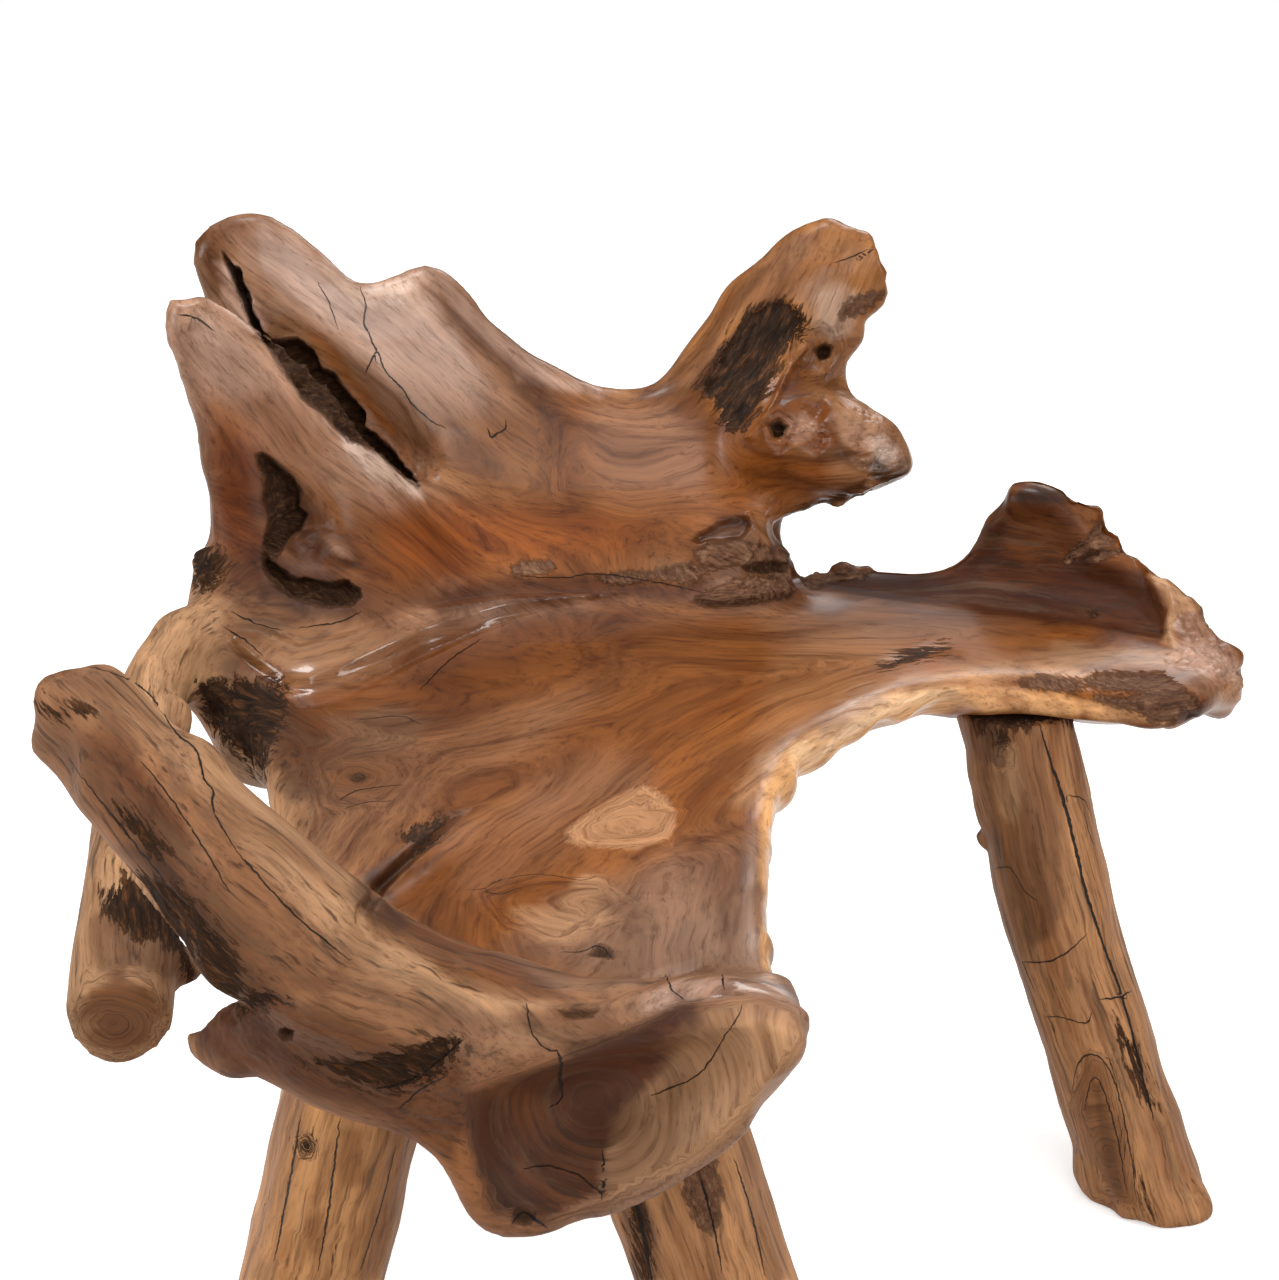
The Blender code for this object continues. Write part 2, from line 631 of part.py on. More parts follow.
def build_leg(side_name, body, colours):
    """A leg with its loose tenon and locking peg, and the cuts that seat them."""
    (foot_x, foot_y), (top_x, top_y), share = leg_shares[side_name]
    peg_way = peg_ways[side_name]
    bow_way = bow_ways[side_name]
    radius = leg_radius * share
    level = under_height((top_x * seat_width, top_y * seat_reach), body) + seat_recess
    foot = Vector((foot_x * seat_width, foot_y * seat_reach, 0.0))
    top = Vector((top_x * seat_width, top_y * seat_reach, level))
    axis = (top - foot).normalized()
    mesh = log_mesh("leg_" + side_name, foot, top, radius, bow_way)
    saw(mesh, 0.0, True, foot_chamfer)
    saw(mesh, level, False)
    leg = add_object("leg_" + side_name, mesh, parts_group, colours["leg"])

    pocket = log_mesh("pocket " + side_name, foot, top, radius + fit_clearance, bow_way)
    saw(pocket, level - seat_middle_thickness, True)
    saw(pocket, level + fit_clearance, False)
    cut(body, add_object("pocket " + side_name, pocket, cutter_group))

    tenon_top = top + axis * tenon_in_seat
    tenon_foot = top - axis * tenon_in_leg
    tenon = cylinder("tenon_" + side_name, tenon_foot, tenon_top, tenon_radius, parts_group,
                     chamfer=tenon_chamfer)
    tenon.data.materials.append(colours["tenon"])
    hole = cylinder("tenon hole " + side_name, tenon_foot - axis * fit_clearance,
                    tenon_top + axis * fit_clearance, tenon_radius + fit_clearance, cutter_group)
    cut(leg, hole)
    cut(body, hole)

    outward = Vector((math.cos(peg_way), math.sin(peg_way), 0.0))
    outward = (outward - axis * outward.dot(axis)).normalized()
    middle = top - axis * peg_drop
    peg_end = middle - outward * (tenon_radius + peg_beyond_tenon)
    peg_head = middle + outward * radius
    peg = cylinder("peg_" + side_name, peg_end, peg_head, peg_radius, parts_group, sides=16)
    peg.data.materials.append(colours["peg"])
    peg_hole = cylinder("peg hole " + side_name, peg_end - outward * fit_clearance,
                        peg_head + outward * cut_overrun, peg_radius + fit_clearance, cutter_group, sides=16)
    cut(leg, peg_hole)
    cut(tenon, peg_hole)
    for thing in (leg, tenon, peg):
        round_smooth(thing)


def stand_on_origin():
    """Hang every piece under an empty that puts the bottom centre of the whole on the origin."""
    bpy.context.view_layer.update()
    depsgraph = bpy.context.evaluated_depsgraph_get()
    low = Vector((math.inf, math.inf, math.inf))
    high = -low
    for thing in parts_group.objects:
        for vertex in thing.evaluated_get(depsgraph).data.vertices:
            spot = thing.matrix_world @ vertex.co
            low = Vector(map(min, low, spot))
            high = Vector(map(max, high, spot))
    holder = bpy.data.objects.new("bench_origin", None)
    holder.location = (-(low.x + high.x) / 2, -(low.y + high.y) / 2, 0.0)
    for thing in list(parts_group.objects):
        thing.parent = holder
    for thing in list(cutter_group.objects):
        thing.parent = holder
    parts_group.objects.link(holder)
    print("moved by", [round(value, 5) for value in holder.location])
    print("size", [round(value, 4) for value in high - low])


def build():
    colours = {
        "body": wood("carved teak root", (0.30, 0.135, 0.055), 0.38),
        "leg": wood("barked teak log", (0.29, 0.15, 0.075), 0.62),
        "tenon": wood("turned teak tenon", (0.36, 0.20, 0.10), 0.6),
        "peg": wood("teak peg", (0.16, 0.09, 0.05), 0.6),
    }
    body = carve_body()
    cutter_group.objects.unlink(body)
    parts_group.objects.link(body)
    body.data.materials.clear()
    body.data.materials.append(colours["body"])
    for side_name in leg_shares:
        build_leg(side_name, body, colours)
    round_smooth(body)
    stand_on_origin()


build()
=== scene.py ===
import math

import bmesh
import bpy
import numpy as np
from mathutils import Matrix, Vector, noise
from mathutils.bvhtree import BVHTree


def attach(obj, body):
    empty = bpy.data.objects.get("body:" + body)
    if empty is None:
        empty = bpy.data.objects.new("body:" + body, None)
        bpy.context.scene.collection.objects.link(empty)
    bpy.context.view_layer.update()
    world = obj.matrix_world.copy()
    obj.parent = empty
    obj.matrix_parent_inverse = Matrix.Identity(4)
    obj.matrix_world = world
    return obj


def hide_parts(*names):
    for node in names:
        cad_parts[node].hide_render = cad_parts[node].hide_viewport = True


# Teak root bench. Lengths are metres unless a name says millimetres or photo pixels.
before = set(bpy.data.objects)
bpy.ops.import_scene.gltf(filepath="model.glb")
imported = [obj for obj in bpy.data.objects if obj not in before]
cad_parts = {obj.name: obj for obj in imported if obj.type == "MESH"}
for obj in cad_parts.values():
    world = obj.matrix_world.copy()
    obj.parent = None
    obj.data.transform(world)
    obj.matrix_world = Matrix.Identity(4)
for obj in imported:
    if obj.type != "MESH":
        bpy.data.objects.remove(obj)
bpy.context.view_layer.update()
drawingShift = np.array([-0.0025, 0.05878, 0.0])     # from the sketch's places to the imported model's

palette = {                  # sRGB, judged on the oiled wood
    "honey": "#864f20",      # heartwood of the seat's back and the foot of the back
    # the last tone on the next line is painted shade: in creases, on the curled wall, beside the left blade's hollows
    # and under the dished end's rim
    "amber": "#9f6a3a", "chestnut": "#6b3e1b", "walnut": "#522d14", "coffee": "#371b0b", "cocoa": "#421c06",
    "tan": "#8d6547", "fawn": "#a17c5b",
    "mist": "#a4806a",       # greyish wood, and painted sheen where the satin oil catches the light
    # the next tone is painted sheen and painted highlights: on the blades' faces and top edges, the rims, the sapwood
    # edge and the wing's end
    "pearl": "#b99a8a",
    "frost": "#dcc6b8",      # painted highlight where the oil catches the window
    # the palest tone on the next line is a painted highlight on the rounded sapwood edge
    "cream": "#b68d69", "sapwood": "#e0ac78", "bleached": "#f2c99e", "umber": "#352012", "soot": "#20140d",
    "ash": "#7a634f", "russet": "#8a4512", "rust": "#713d11", "plum": "#80604b", "sienna": "#ab7c54",
    # the next tone is lighter than the log's own: painted light on the front left leg, which the seat shades
    "strawWithPaintedLight": "#bf8d5e",
    "figure": "#b38661",     # the pale patches of smooth wood
    "weather": "#5f4734",    # streaks that sun and rain leave
    "crack": "#1c120b",
}


def linear(hexColour):
    parts = [int(hexColour[place:place + 2], 16) / 255 for place in (1, 3, 5)]
    return tuple(part / 12.92 if part < 0.04045 else ((part + 0.055) / 1.055) ** 2.4 for part in parts)


# The camera, as the photograph was taken
photoView = {"widthPx": 1279, "heightPx": 1280, "focalPx": 3300, "downDegrees": 22, "place": (-0.04, -2.45, 1.552),
             "sensorMm": 36}


def addCamera():
    data = bpy.data.cameras.new("photoCamera")
    data.sensor_fit = "HORIZONTAL"
    data.sensor_width = photoView["sensorMm"]
    data.lens = photoView["sensorMm"] * photoView["focalPx"] / photoView["widthPx"]
    camera = bpy.data.objects.new("photoCamera", data)
    bpy.context.scene.collection.objects.link(camera)
    camera.location = Vector(photoView["place"]) + Vector(drawingShift)
    camera.rotation_euler = (math.radians(90 - photoView["downDegrees"]), 0, 0)
    bpy.context.scene.camera = camera
    return camera


camera = addCamera()
down = math.radians(photoView["downDegrees"])
eye = np.array(camera.location)
sideWay = np.array([1.0, 0.0, 0.0])
upWay = np.array([0.0, math.sin(down), math.cos(down)])
viewWay = np.array([0.0, math.cos(down), -math.sin(down)])


def photoPlaces(points):          # photo pixels and depth of points in space
    away = points - eye
    depth = away @ viewWay
    scale = photoView["focalPx"] / depth
    return photoView["widthPx"] / 2 + away @ sideWay * scale, photoView["heightPx"] / 2 - away @ upWay * scale, depth


def lookThrough(px, py):          # direction of sight through a photo pixel
    right = (px - photoView["widthPx"] / 2) / photoView["focalPx"]
    up = (photoView["heightPx"] / 2 - py) / photoView["focalPx"]
    return Vector(viewWay + sideWay * right + upWay * up).normalized()


farPixels = 40.0                  # distances in the photograph are cut off here
hiddenPixels = 60                 # and a hidden point counts as this much farther away


def smoothStep(low, high, value):
    share = np.clip((value - low) / (high - low), 0, 1)
    return share * share * (3 - 2 * share)


def pairs(numbers):               # x, y, x, y ... as points
    return list(zip(numbers[::2], numbers[1::2]))


def readPoints(mesh, what="co"):
    values = np.empty(len(mesh.vertices) * 3, np.float32)
    mesh.vertices.foreach_get(what, values)
    return values.reshape(-1, 3).astype(float)


def writePoints(mesh, points):
    mesh.vertices.foreach_set("co", points.astype(np.float32).ravel())
    mesh.update()


def applied(piece):               # the mesh that the object's modifiers make
    bpy.context.view_layer.update()
    mesh = bpy.data.meshes.new_from_object(piece.evaluated_get(bpy.context.evaluated_depsgraph_get()))
    piece.modifiers.clear()
    return mesh


def copyNode(node, newName):      # a merged copy of a CAD node, as an object at the origin
    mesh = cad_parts[node].data.copy()
    mesh.name = newName
    shape = bmesh.new()
    shape.from_mesh(mesh)
    bmesh.ops.remove_doubles(shape, verts=shape.verts, dist=0.00001)
    shape.to_mesh(mesh)
    shape.free()
    mesh.materials.clear()
    piece = bpy.data.objects.new(newName, mesh)
    bpy.context.scene.collection.objects.link(piece)
    return piece


def evenSkin(piece, step, rounds):
    remesh = piece.modifiers.new("evenSkin", "REMESH")
    remesh.mode = "VOXEL"
    remesh.voxel_size = step
    soften = piece.modifiers.new("soften", "SMOOTH")
    soften.factor = 0.5
    soften.iterations = rounds
    piece.data = applied(piece)


def refine(mesh, wanted):         # halves the edges whose two ends are wanted
    shape = bmesh.new()
    shape.from_mesh(mesh)
    edges = [edge for edge in shape.edges if all(wanted[end.index] for end in edge.verts)]
    bmesh.ops.subdivide_edges(shape, edges=edges, cuts=1, use_grid_fill=True)
    shape.to_mesh(mesh)
    shape.free()


def noiseAt(points, size, seed=0.0, octaves=3):      # fractal noise, about -1 to 1, features of a size in metres
    shift = Vector((seed * 13.7, seed * 7.3, seed * 3.1))
    return np.array([noise.fractal(Vector(point) / size + shift, 1.0, 2.0, octaves) for point in points])


def insideOf(px, py, outline):    # pixels inside a closed outline, negative outside
    value = np.full(len(px), -farPixels)
    corners = np.array(outline)
    near = ((px > corners[:, 0].min() - farPixels) & (px < corners[:, 0].max() + farPixels)
            & (py > corners[:, 1].min() - farPixels) & (py < corners[:, 1].max() + farPixels))
    x, y = px[near], py[near]
    best = np.full(len(x), farPixels)
    crossings = np.zeros(len(x), bool)
    for (ax, ay), (bx, by) in zip(outline, outline[1:] + outline[:1]):
        runX, runY = bx - ax, by - ay
        along = np.clip(((x - ax) * runX + (y - ay) * runY) / (runX * runX + runY * runY), 0, 1)
        best = np.minimum(best, np.hypot(x - ax - along * runX, y - ay - along * runY))
        if ay != by:
            crossings ^= ((ay > y) != (by > y)) & (x < ax + (y - ay) * runX / runY)
    value[near] = np.where(crossings, best, -best)
    return value


def crackGap(px, py, cracks):     # pixels to the nearest crack, negative
    gap = np.full(len(px), -farPixels)
    for _, *numbers in cracks:
        route = pairs(numbers)
        gap = np.maximum(gap, insideOf(px, py, route + route[-2:0:-1]))
    return gap


def nearestSeen(px, py, seen, x, y):                 # the point that shows at a pixel
    return np.argmin(np.hypot(px - x, py - y) + (1 - seen) * hiddenPixels)


def treeOf(mesh, points):
    return BVHTree.FromPolygons([tuple(point) for point in points], [tuple(face.vertices) for face in mesh.polygons])


def seenShare(tree, points, slack=0.006):            # 1 where the photograph's camera sees a point
    seen = np.zeros(len(points))
    start = Vector(eye)
    for index, point in enumerate(points):
        way = Vector(point) - start
        hit = tree.ray_cast(start, way.normalized())
        seen[index] = 1.0 if hit[0] is None or hit[3] > way.length - slack else 0.0
    return seen


def skinsBefore(tree, point, most=3):                # how many skins lie between the camera and a point
    start = Vector(eye)
    way = (Vector(point) - start).normalized()
    count = 0
    while count < most:
        hit = tree.ray_cast(start, way, (Vector(point) - start).length - 0.003)
        if hit[0] is None:
            break
        count += 1
        start = hit[0] + way * 0.0005
    return count


def spreadShare(mesh, values, rounds):               # evens a value out over neighbouring points
    edges = np.empty(len(mesh.edges) * 2, np.int32)
    mesh.edges.foreach_get("vertices", edges)
    edges = edges.reshape(-1, 2)
    count = np.bincount(edges.ravel(), minlength=len(values))
    for _ in range(rounds):
        total = np.bincount(edges[:, 0], values[edges[:, 1]], len(values))
        total += np.bincount(edges[:, 1], values[edges[:, 0]], len(values))
        values = 0.5 * values + 0.5 * total / np.maximum(count, 1)
    return values


def addValues(mesh, name, values):                   # numbers, or a vector (3) or colour (4) a point
    kind, field = {1: ("FLOAT", "value"), 3: ("FLOAT_VECTOR", "vector"), 4: ("FLOAT_COLOR", "color")}[
        1 if values.ndim == 1 else values.shape[1]]
    mesh.attributes.new(name, kind, "POINT").data.foreach_set(field, values.astype(np.float32).ravel())


def thinOut(piece, most, values, free):              # fewer triangles where the skin is free; the values ride along
    group = piece.vertex_groups.new(name="free")
    for share in (0.0, 1.0):
        group.add([int(index) for index in np.flatnonzero(free == share)], share, "REPLACE")
    for name, value in values.items():
        addValues(piece.data, name, value)
    piece.data.calc_loop_triangles()
    thin = piece.modifiers.new("thinOut", "DECIMATE")
    thin.ratio = min(1.0, most / len(piece.data.loop_triangles))
    thin.vertex_group = "free"
    mesh = applied(piece)
    piece.vertex_groups.clear()
    piece.data = mesh
    kept = {}
    for name in values:
        kept[name] = np.empty(len(mesh.vertices), np.float32)
        mesh.attributes[name].data.foreach_get("value", kept[name])
        mesh.attributes.remove(mesh.attributes[name])
    return kept


def smoothRoute(places, parts=6):                    # Catmull-Rom through given places
    places = [np.array(place, float) for place in places]
    places = [2 * places[0] - places[1]] + places + [2 * places[-1] - places[-2]]
    route = []
    for a, b, c, d in zip(places, places[1:], places[2:], places[3:]):
        for part in range(parts):
            t = part / parts
            bend = (2 * a - 5 * b + 4 * c - d) * t * t
            route.append(0.5 * (2 * b + (c - a) * t + bend + (3 * b - a - 3 * c + d) * t ** 3))
    return np.array(route + [places[-2]])


# Growth lines that the wood's fibres follow, in the sketch's places, and the tone along each
pithLines = {
    "band": [(-0.42, 0.16, 0.455), (-0.28, 0.20, 0.45), (-0.10, 0.22, 0.44), (0.08, 0.20, 0.44), (0.25, 0.18, 0.45),
             (0.47, 0.16, 0.46)],
    "limb": [(0.34, 0.20, 0.44), (0.16, 0.12, 0.435), (0.02, -0.04, 0.43), (-0.07, -0.20, 0.43), (-0.12, -0.36, 0.43),
             (-0.12, -0.50, 0.44)],
    "nearEnd": [(0.0, -0.25, 0.43), (-0.03, -0.42, 0.43), (-0.06, -0.60, 0.42)],
    "frontArm": [(-0.05, -0.48, 0.46), (-0.15, -0.50, 0.49), (-0.22, -0.52, 0.53), (-0.30, -0.495, 0.585),
                 (-0.38, -0.45, 0.65), (-0.45, -0.41, 0.71)],
    "rearArm": [(-0.30, 0.20, 0.46), (-0.40, 0.16, 0.50), (-0.44, 0.05, 0.485), (-0.435, -0.15, 0.44),
                (-0.42, -0.36, 0.385)],
    "blade": [(-0.12, 0.24, 0.47), (-0.20, 0.22, 0.53), (-0.29, 0.215, 0.62), (-0.37, 0.20, 0.72),
              (-0.43, 0.18, 0.80)],
    "lobe": [(0.02, 0.30, 0.52), (-0.10, 0.31, 0.60), (-0.22, 0.32, 0.70), (-0.33, 0.33, 0.79), (-0.41, 0.34, 0.86)],
    "horn": [(-0.12, 0.29, 0.50), (-0.03, 0.33, 0.57), (0.05, 0.37, 0.64), (0.11, 0.41, 0.73), (0.16, 0.44, 0.82)],
    "knob": [(0.04, 0.35, 0.58), (0.12, 0.35, 0.60), (0.21, 0.33, 0.60)],
    "curl": [(0.10, 0.34, 0.49), (0.25, 0.33, 0.50), (0.36, 0.28, 0.52), (0.43, 0.23, 0.51), (0.48, 0.14, 0.47)],
}
# the left blade's tone carries a painted sheen as well as the greyed wood
pithTones = {"band": "honey", "limb": "honey", "nearEnd": "plum", "frontArm": "tan", "rearArm": "fawn",
             "blade": "mist", "lobe": "tan", "horn": "amber", "knob": "tan", "curl": "chestnut"}
pithBlend = 0.0006                # square metres: how softly one line's grain passes into the next


def grainOf(points, lines):       # along the fibre, and across it both ways, blended between the lines
    grain = np.zeros((len(points), 3))
    weights = {}
    up = np.array([0.31, 0.23, 0.92])                # along none of the lines
    for name, route in lines.items():
        nearest = np.full(len(points), np.inf)
        best = np.zeros((len(points), 3))
        reached = 0.0
        for start, end in zip(route, route[1:]):
            run = end - start
            length = np.linalg.norm(run)
            way = run / length
            across = np.cross(way, up)
            across /= np.linalg.norm(across)
            away = points - start
            along = np.clip(away @ way, 0, length)
            offset = away - along[:, None] * way
            gap = np.linalg.norm(offset, axis=1)
            nearer = gap < nearest
            nearest = np.where(nearer, gap, nearest)
            own = np.stack([reached + along, offset @ across, offset @ np.cross(way, across)], -1)
            best[nearer] = own[nearer]
            reached += length
        weights[name] = 1 / (nearest ** 2 + pithBlend) ** 2
        grain += best * weights[name][:, None]
    total = sum(weights.values())
    return grain / total[:, None], {name: weight / total for name, weight in weights.items()}


# Marks that the photograph shows, outlines in its pixels: x,y, x,y ...
# (kind, millimetres pushed out of the wood, pixels that the slope takes, millimetres of unevenness, outline)
# bark is dark and fibrous, ash grey and crumbly, hole dark old wood with painted shade of the hollow, cleft a hole
# whose far side goes in as well, pale smooth light wood, and "" keeps the tone
rootMarks = [
    # the cleft between the two blades of the back
    ("cleft", -30, 5, 7, 221,249, 231,262, 240,268, 248,290, 255,312, 265,332, 272,339, 285,337, 297,337, 314,349,
     321,366, 336,371, 346,388, 365,410, 365,425, 385,440, 404,464, 421,486, 417,489, 394,470, 378,455, 363,446,
     348,442, 324,417, 300,398, 280,368, 265,344, 248,324, 241,303, 229,273),
    ("", -6, 26, 0, 285,318, 330,335, 368,385, 405,432, 432,482, 421,488, 385,442, 346,390, 314,349, 285,336),
    # knot hollows at the foot of the left blade
    ("hole", -17, 8, 5, 255,455, 262,451, 276,460, 292,474, 303,490, 300,505, 309,514, 302,528, 290,540, 280,556,
     268,562, 262,545, 268,520, 262,500, 264,480, 257,468),
    ("", 8, 14, 0.6, 288,545, 300,528, 316,523, 334,530, 352,546, 364,566, 345,572, 318,566, 300,560),
    ("hole", -20, 7, 5, 262,545, 270,556, 280,566, 297,577, 315,578, 331,582, 348,580, 360,588, 363,597, 352,606,
     330,609, 311,604, 288,597, 272,586, 262,566),
    ("bark", 4, 6, 5, 192,575, 196,556, 205,544, 218,548, 224,565, 216,585, 200,594),
    # bark flap under the corner, beside the gap
    ("bark", -2, 6, 3, 196,683, 225,678, 262,681, 288,688, 284,720, 272,750, 264,780, 240,756, 215,735, 202,712),
    # horn: dark bark, a worn ridge beside it, holes, a grey patch
    ("bark", -5, 8, 3, 763,303, 779,297, 795,305, 808,321, 803,335, 789,345, 779,359, 775,373, 765,391, 756,410,
     744,428, 733,433, 719,419, 712,398, 698,389, 709,373, 723,345, 737,326, 747,312),
    ("", 6, 9, 0, 806,338, 792,350, 780,375, 770,400, 752,428, 741,438, 752,444, 772,420, 786,390, 798,365, 812,348),
    ("hole", -15, 4, 0.8, 814,350, 823,342, 834,346, 830,357, 819,361),
    ("ash", -1, 4, 1.5, 836,314, 850,299, 866,293, 884,292, 882,301, 862,314, 846,320),
    ("", -6, 15, 5, 762,428, 776,408, 800,396, 826,392, 838,404, 826,422, 840,438, 820,462, 796,448, 780,458,
     764,444),
    ("hole", -12, 4, 0.8, 767,424, 778,417, 788,423, 785,435, 773,438),
    ("", 0, 8, 4, 832,412, 850,402, 870,405, 900,430, 908,470, 885,490, 850,470, 838,440),
    ("", 0, 6, 6, 768,524, 800,508, 835,494, 865,478, 889,490, 850,508, 820,516, 780,532),
    # ragged ledge where the back meets the seat
    ("ash", 1, 6, 3.5, 694,553, 712,543, 740,540, 752,545, 766,546, 786,545, 801,562, 797,575, 790,584, 770,574,
     744,566, 720,568, 700,566),
    ("", -6, 6, 1, 688,542, 700,530, 720,518, 745,514, 752,519, 750,532, 745,539, 720,541, 700,545),
    ("", 4, 4, 0.5, 744,514, 752,512, 762,530, 762,545, 752,560, 744,566, 752,546, 753,530),
    ("hole", -8, 4, 1, 742,567, 760,561, 775,559, 791,564, 787,572, 765,574, 748,572),
    ("ash", 6, 5, 2.5, 694,598, 725,583, 745,577, 786,579, 796,590, 787,597, 745,604, 704,607),
    ("ash", -1, 4, 1, 508,569, 518,561, 545,558, 562,562, 556,570, 535,576, 514,575),
    ("ash", -1, 4, 2, 596,577, 625,570, 650,571, 690,563, 706,572, 694,584, 660,580, 630,584, 606,583),
    ("ash", 2, 4, 5, 800,574, 815,566, 830,561, 845,559, 866,557, 876,566, 868,577, 840,580, 815,590, 803,586),
    # curled wall: hollow inside, broken notch, rough end
    ("", -10, 24, 0, 930,575, 960,556, 990,525, 1005,500, 1060,502, 1096,556, 1134,570, 1158,590, 1162,612, 1164,634,
     1100,622, 1030,608, 960,598, 920,592),
    ("", -12, 8, 0, 809,590, 870,598, 938,607, 1000,616, 1060,623, 1110,631, 1167,642, 1172,628, 1163,606, 1150,570,
     1110,500, 1060,440, 990,440, 930,520, 880,550, 809,560),
    ("", 5, 7, 0, 1152,576, 1166,577, 1189,593, 1204,609, 1182,612, 1172,626, 1182,644, 1174,650, 1162,640, 1166,612,
     1162,592),
    ("ash", -4, 4, 2.5, 1065,562, 1075,549, 1090,534, 1101,522, 1113,524, 1119,533, 1117,542, 1108,546, 1086,556,
     1071,563),
    ("ash", -3, 4, 2, 1088,558, 1108,548, 1121,548, 1130,551, 1110,558, 1095,565),
    ("hole", -8, 3, 1, 1079,558, 1092,551, 1106,546, 1110,549, 1096,557, 1084,561),
    ("hole", -5, 3, 1, 1088,612, 1097,609, 1102,615, 1094,618),
    ("", 1, 9, 7, 1165,655, 1184,645, 1178,614, 1206,612, 1226,638, 1246,665, 1248,700, 1200,674, 1165,668),
    ("ash", -1.5, 3, 2, 1083,680, 1097,672, 1137,672, 1161,671, 1178,684, 1196,696, 1204,708, 1192,712, 1180,708,
     1176,726, 1151,723, 1137,712, 1115,707, 1092,700, 1094,694, 1123,697, 1144,691, 1095,688),
    ("hole", -4, 4, 1, 1184,716, 1190,711, 1199,714, 1196,721, 1187,723),
    ("ash", -1, 3, 1, 1014,681, 1040,675, 1070,677, 1088,684, 1080,693, 1050,690, 1028,688),
    ("bark", -1.5, 3, 1, 878,664, 905,652, 930,646, 952,646, 940,654, 915,660, 893,667),
    ("", 8, 13, 0, 226,620, 262,622, 300,640, 350,628, 418,604, 500,592, 600,590, 640,590, 600,600, 500,620, 420,645,
     375,666, 340,682, 312,692, 281,690, 250,668, 224,644),
    ("", -6, 10, 0, 284,694, 312,691, 340,681, 375,665, 420,644, 480,624, 560,606, 480,636, 420,664, 375,688,
     330,710, 290,712),
    # step and groove across the seat, pale figures
    ("", -7, 7, 0, 480,803, 440,822, 405,850, 377,878, 354,906, 354,922, 366,940, 396,952, 382,932, 374,914, 388,890,
     417,862, 450,834),
    ("", -4, 26, 0, 490,805, 420,852, 366,910, 380,945, 450,985, 500,960, 540,860),
    ("bark", -1, 3, 1, 402,838, 414,826, 436,818, 446,822, 432,836, 412,846),
    ("pale", 0, 5, 0, 556,842, 575,820, 600,805, 640,785, 655,787, 672,800, 680,822, 668,840, 640,850, 600,848,
     575,846),
    ("hole", -2, 3, 0, 349,778, 357,773, 366,776, 362,782, 352,783),
    ("hole", -3, 3, 0, 588,955, 598,942, 612,948, 614,958, 600,957),
    # rim and dished end
    ("", -6, 16, 0, 400,925, 440,958, 500,982, 560,990, 610,986, 660,966, 700,955, 720,960, 700,975, 660,986,
     610,1006, 560,1010, 500,1003, 440,984),
    ("", -7, 34, 0, 472,1085, 518,1068, 560,1056, 600,1040, 640,1020, 674,1006, 717,1000, 761,997, 790,1006,
     800,1030, 785,1068, 740,1118, 690,1158, 610,1198, 540,1225, 500,1215, 478,1180, 466,1130),
    ("", 3.5, 6, 0, 466,1082, 518,1062, 560,1050, 600,1034, 640,1014, 674,999, 717,990, 761,987, 790,996, 792,1004,
     761,998, 717,1001, 674,1007, 640,1022, 600,1042, 560,1058, 518,1070, 472,1088),
    ("hole", -3, 3, 1, 560,1010, 580,1008, 600,1010, 590,1017, 568,1018),
    ("hole", -3, 3, 1.5, 512,1222, 518,1208, 530,1208, 536,1218, 528,1228),
    # front arm: stains, knot, rough root
    ("", 0, 14, 3, 188,1033, 222,1000, 262,985, 330,1010, 400,1040, 460,1060, 470,1100, 452,1160, 400,1130, 330,1088,
     235,1078),
    ("bark", -1, 4, 1.5, 112,802, 126,806, 150,828, 170,853, 160,862, 140,844, 120,822),
    ("bark", -1, 5, 2, 126,870, 150,875, 190,900, 228,945, 246,985, 240,1006, 218,996, 200,962, 165,915, 140,892),
    ("bark", -1, 4, 1.5, 38,697, 50,707, 75,710, 93,706, 86,717, 60,717, 42,710),
    ("bark", -1, 4, 2, 236,1000, 262,985, 286,1000, 262,1012, 240,1014),
    ("hole", -6, 4, 1, 277,1033, 285,1026, 296,1030, 293,1040, 282,1041),
    ("bark", -3, 6, 3, 300,1060, 350,1062, 400,1050, 440,1036, 462,1040, 440,1076, 400,1092, 350,1082),
    ("bark", -1, 4, 2, 100,890, 135,877, 175,884, 192,905, 198,950, 190,985, 176,955, 156,938, 140,940, 120,926,
     104,912),
]

rootLook = {"skinStep": 0.0055, "softenRounds": 6, "fineRounds": 2, "mostTriangles": 194000, "toneSwing": 0.12,
            "tonePatch": 0.12, "dullSeat": 0.3, "dullArms": 0.7, "dullEnd": 0.2}

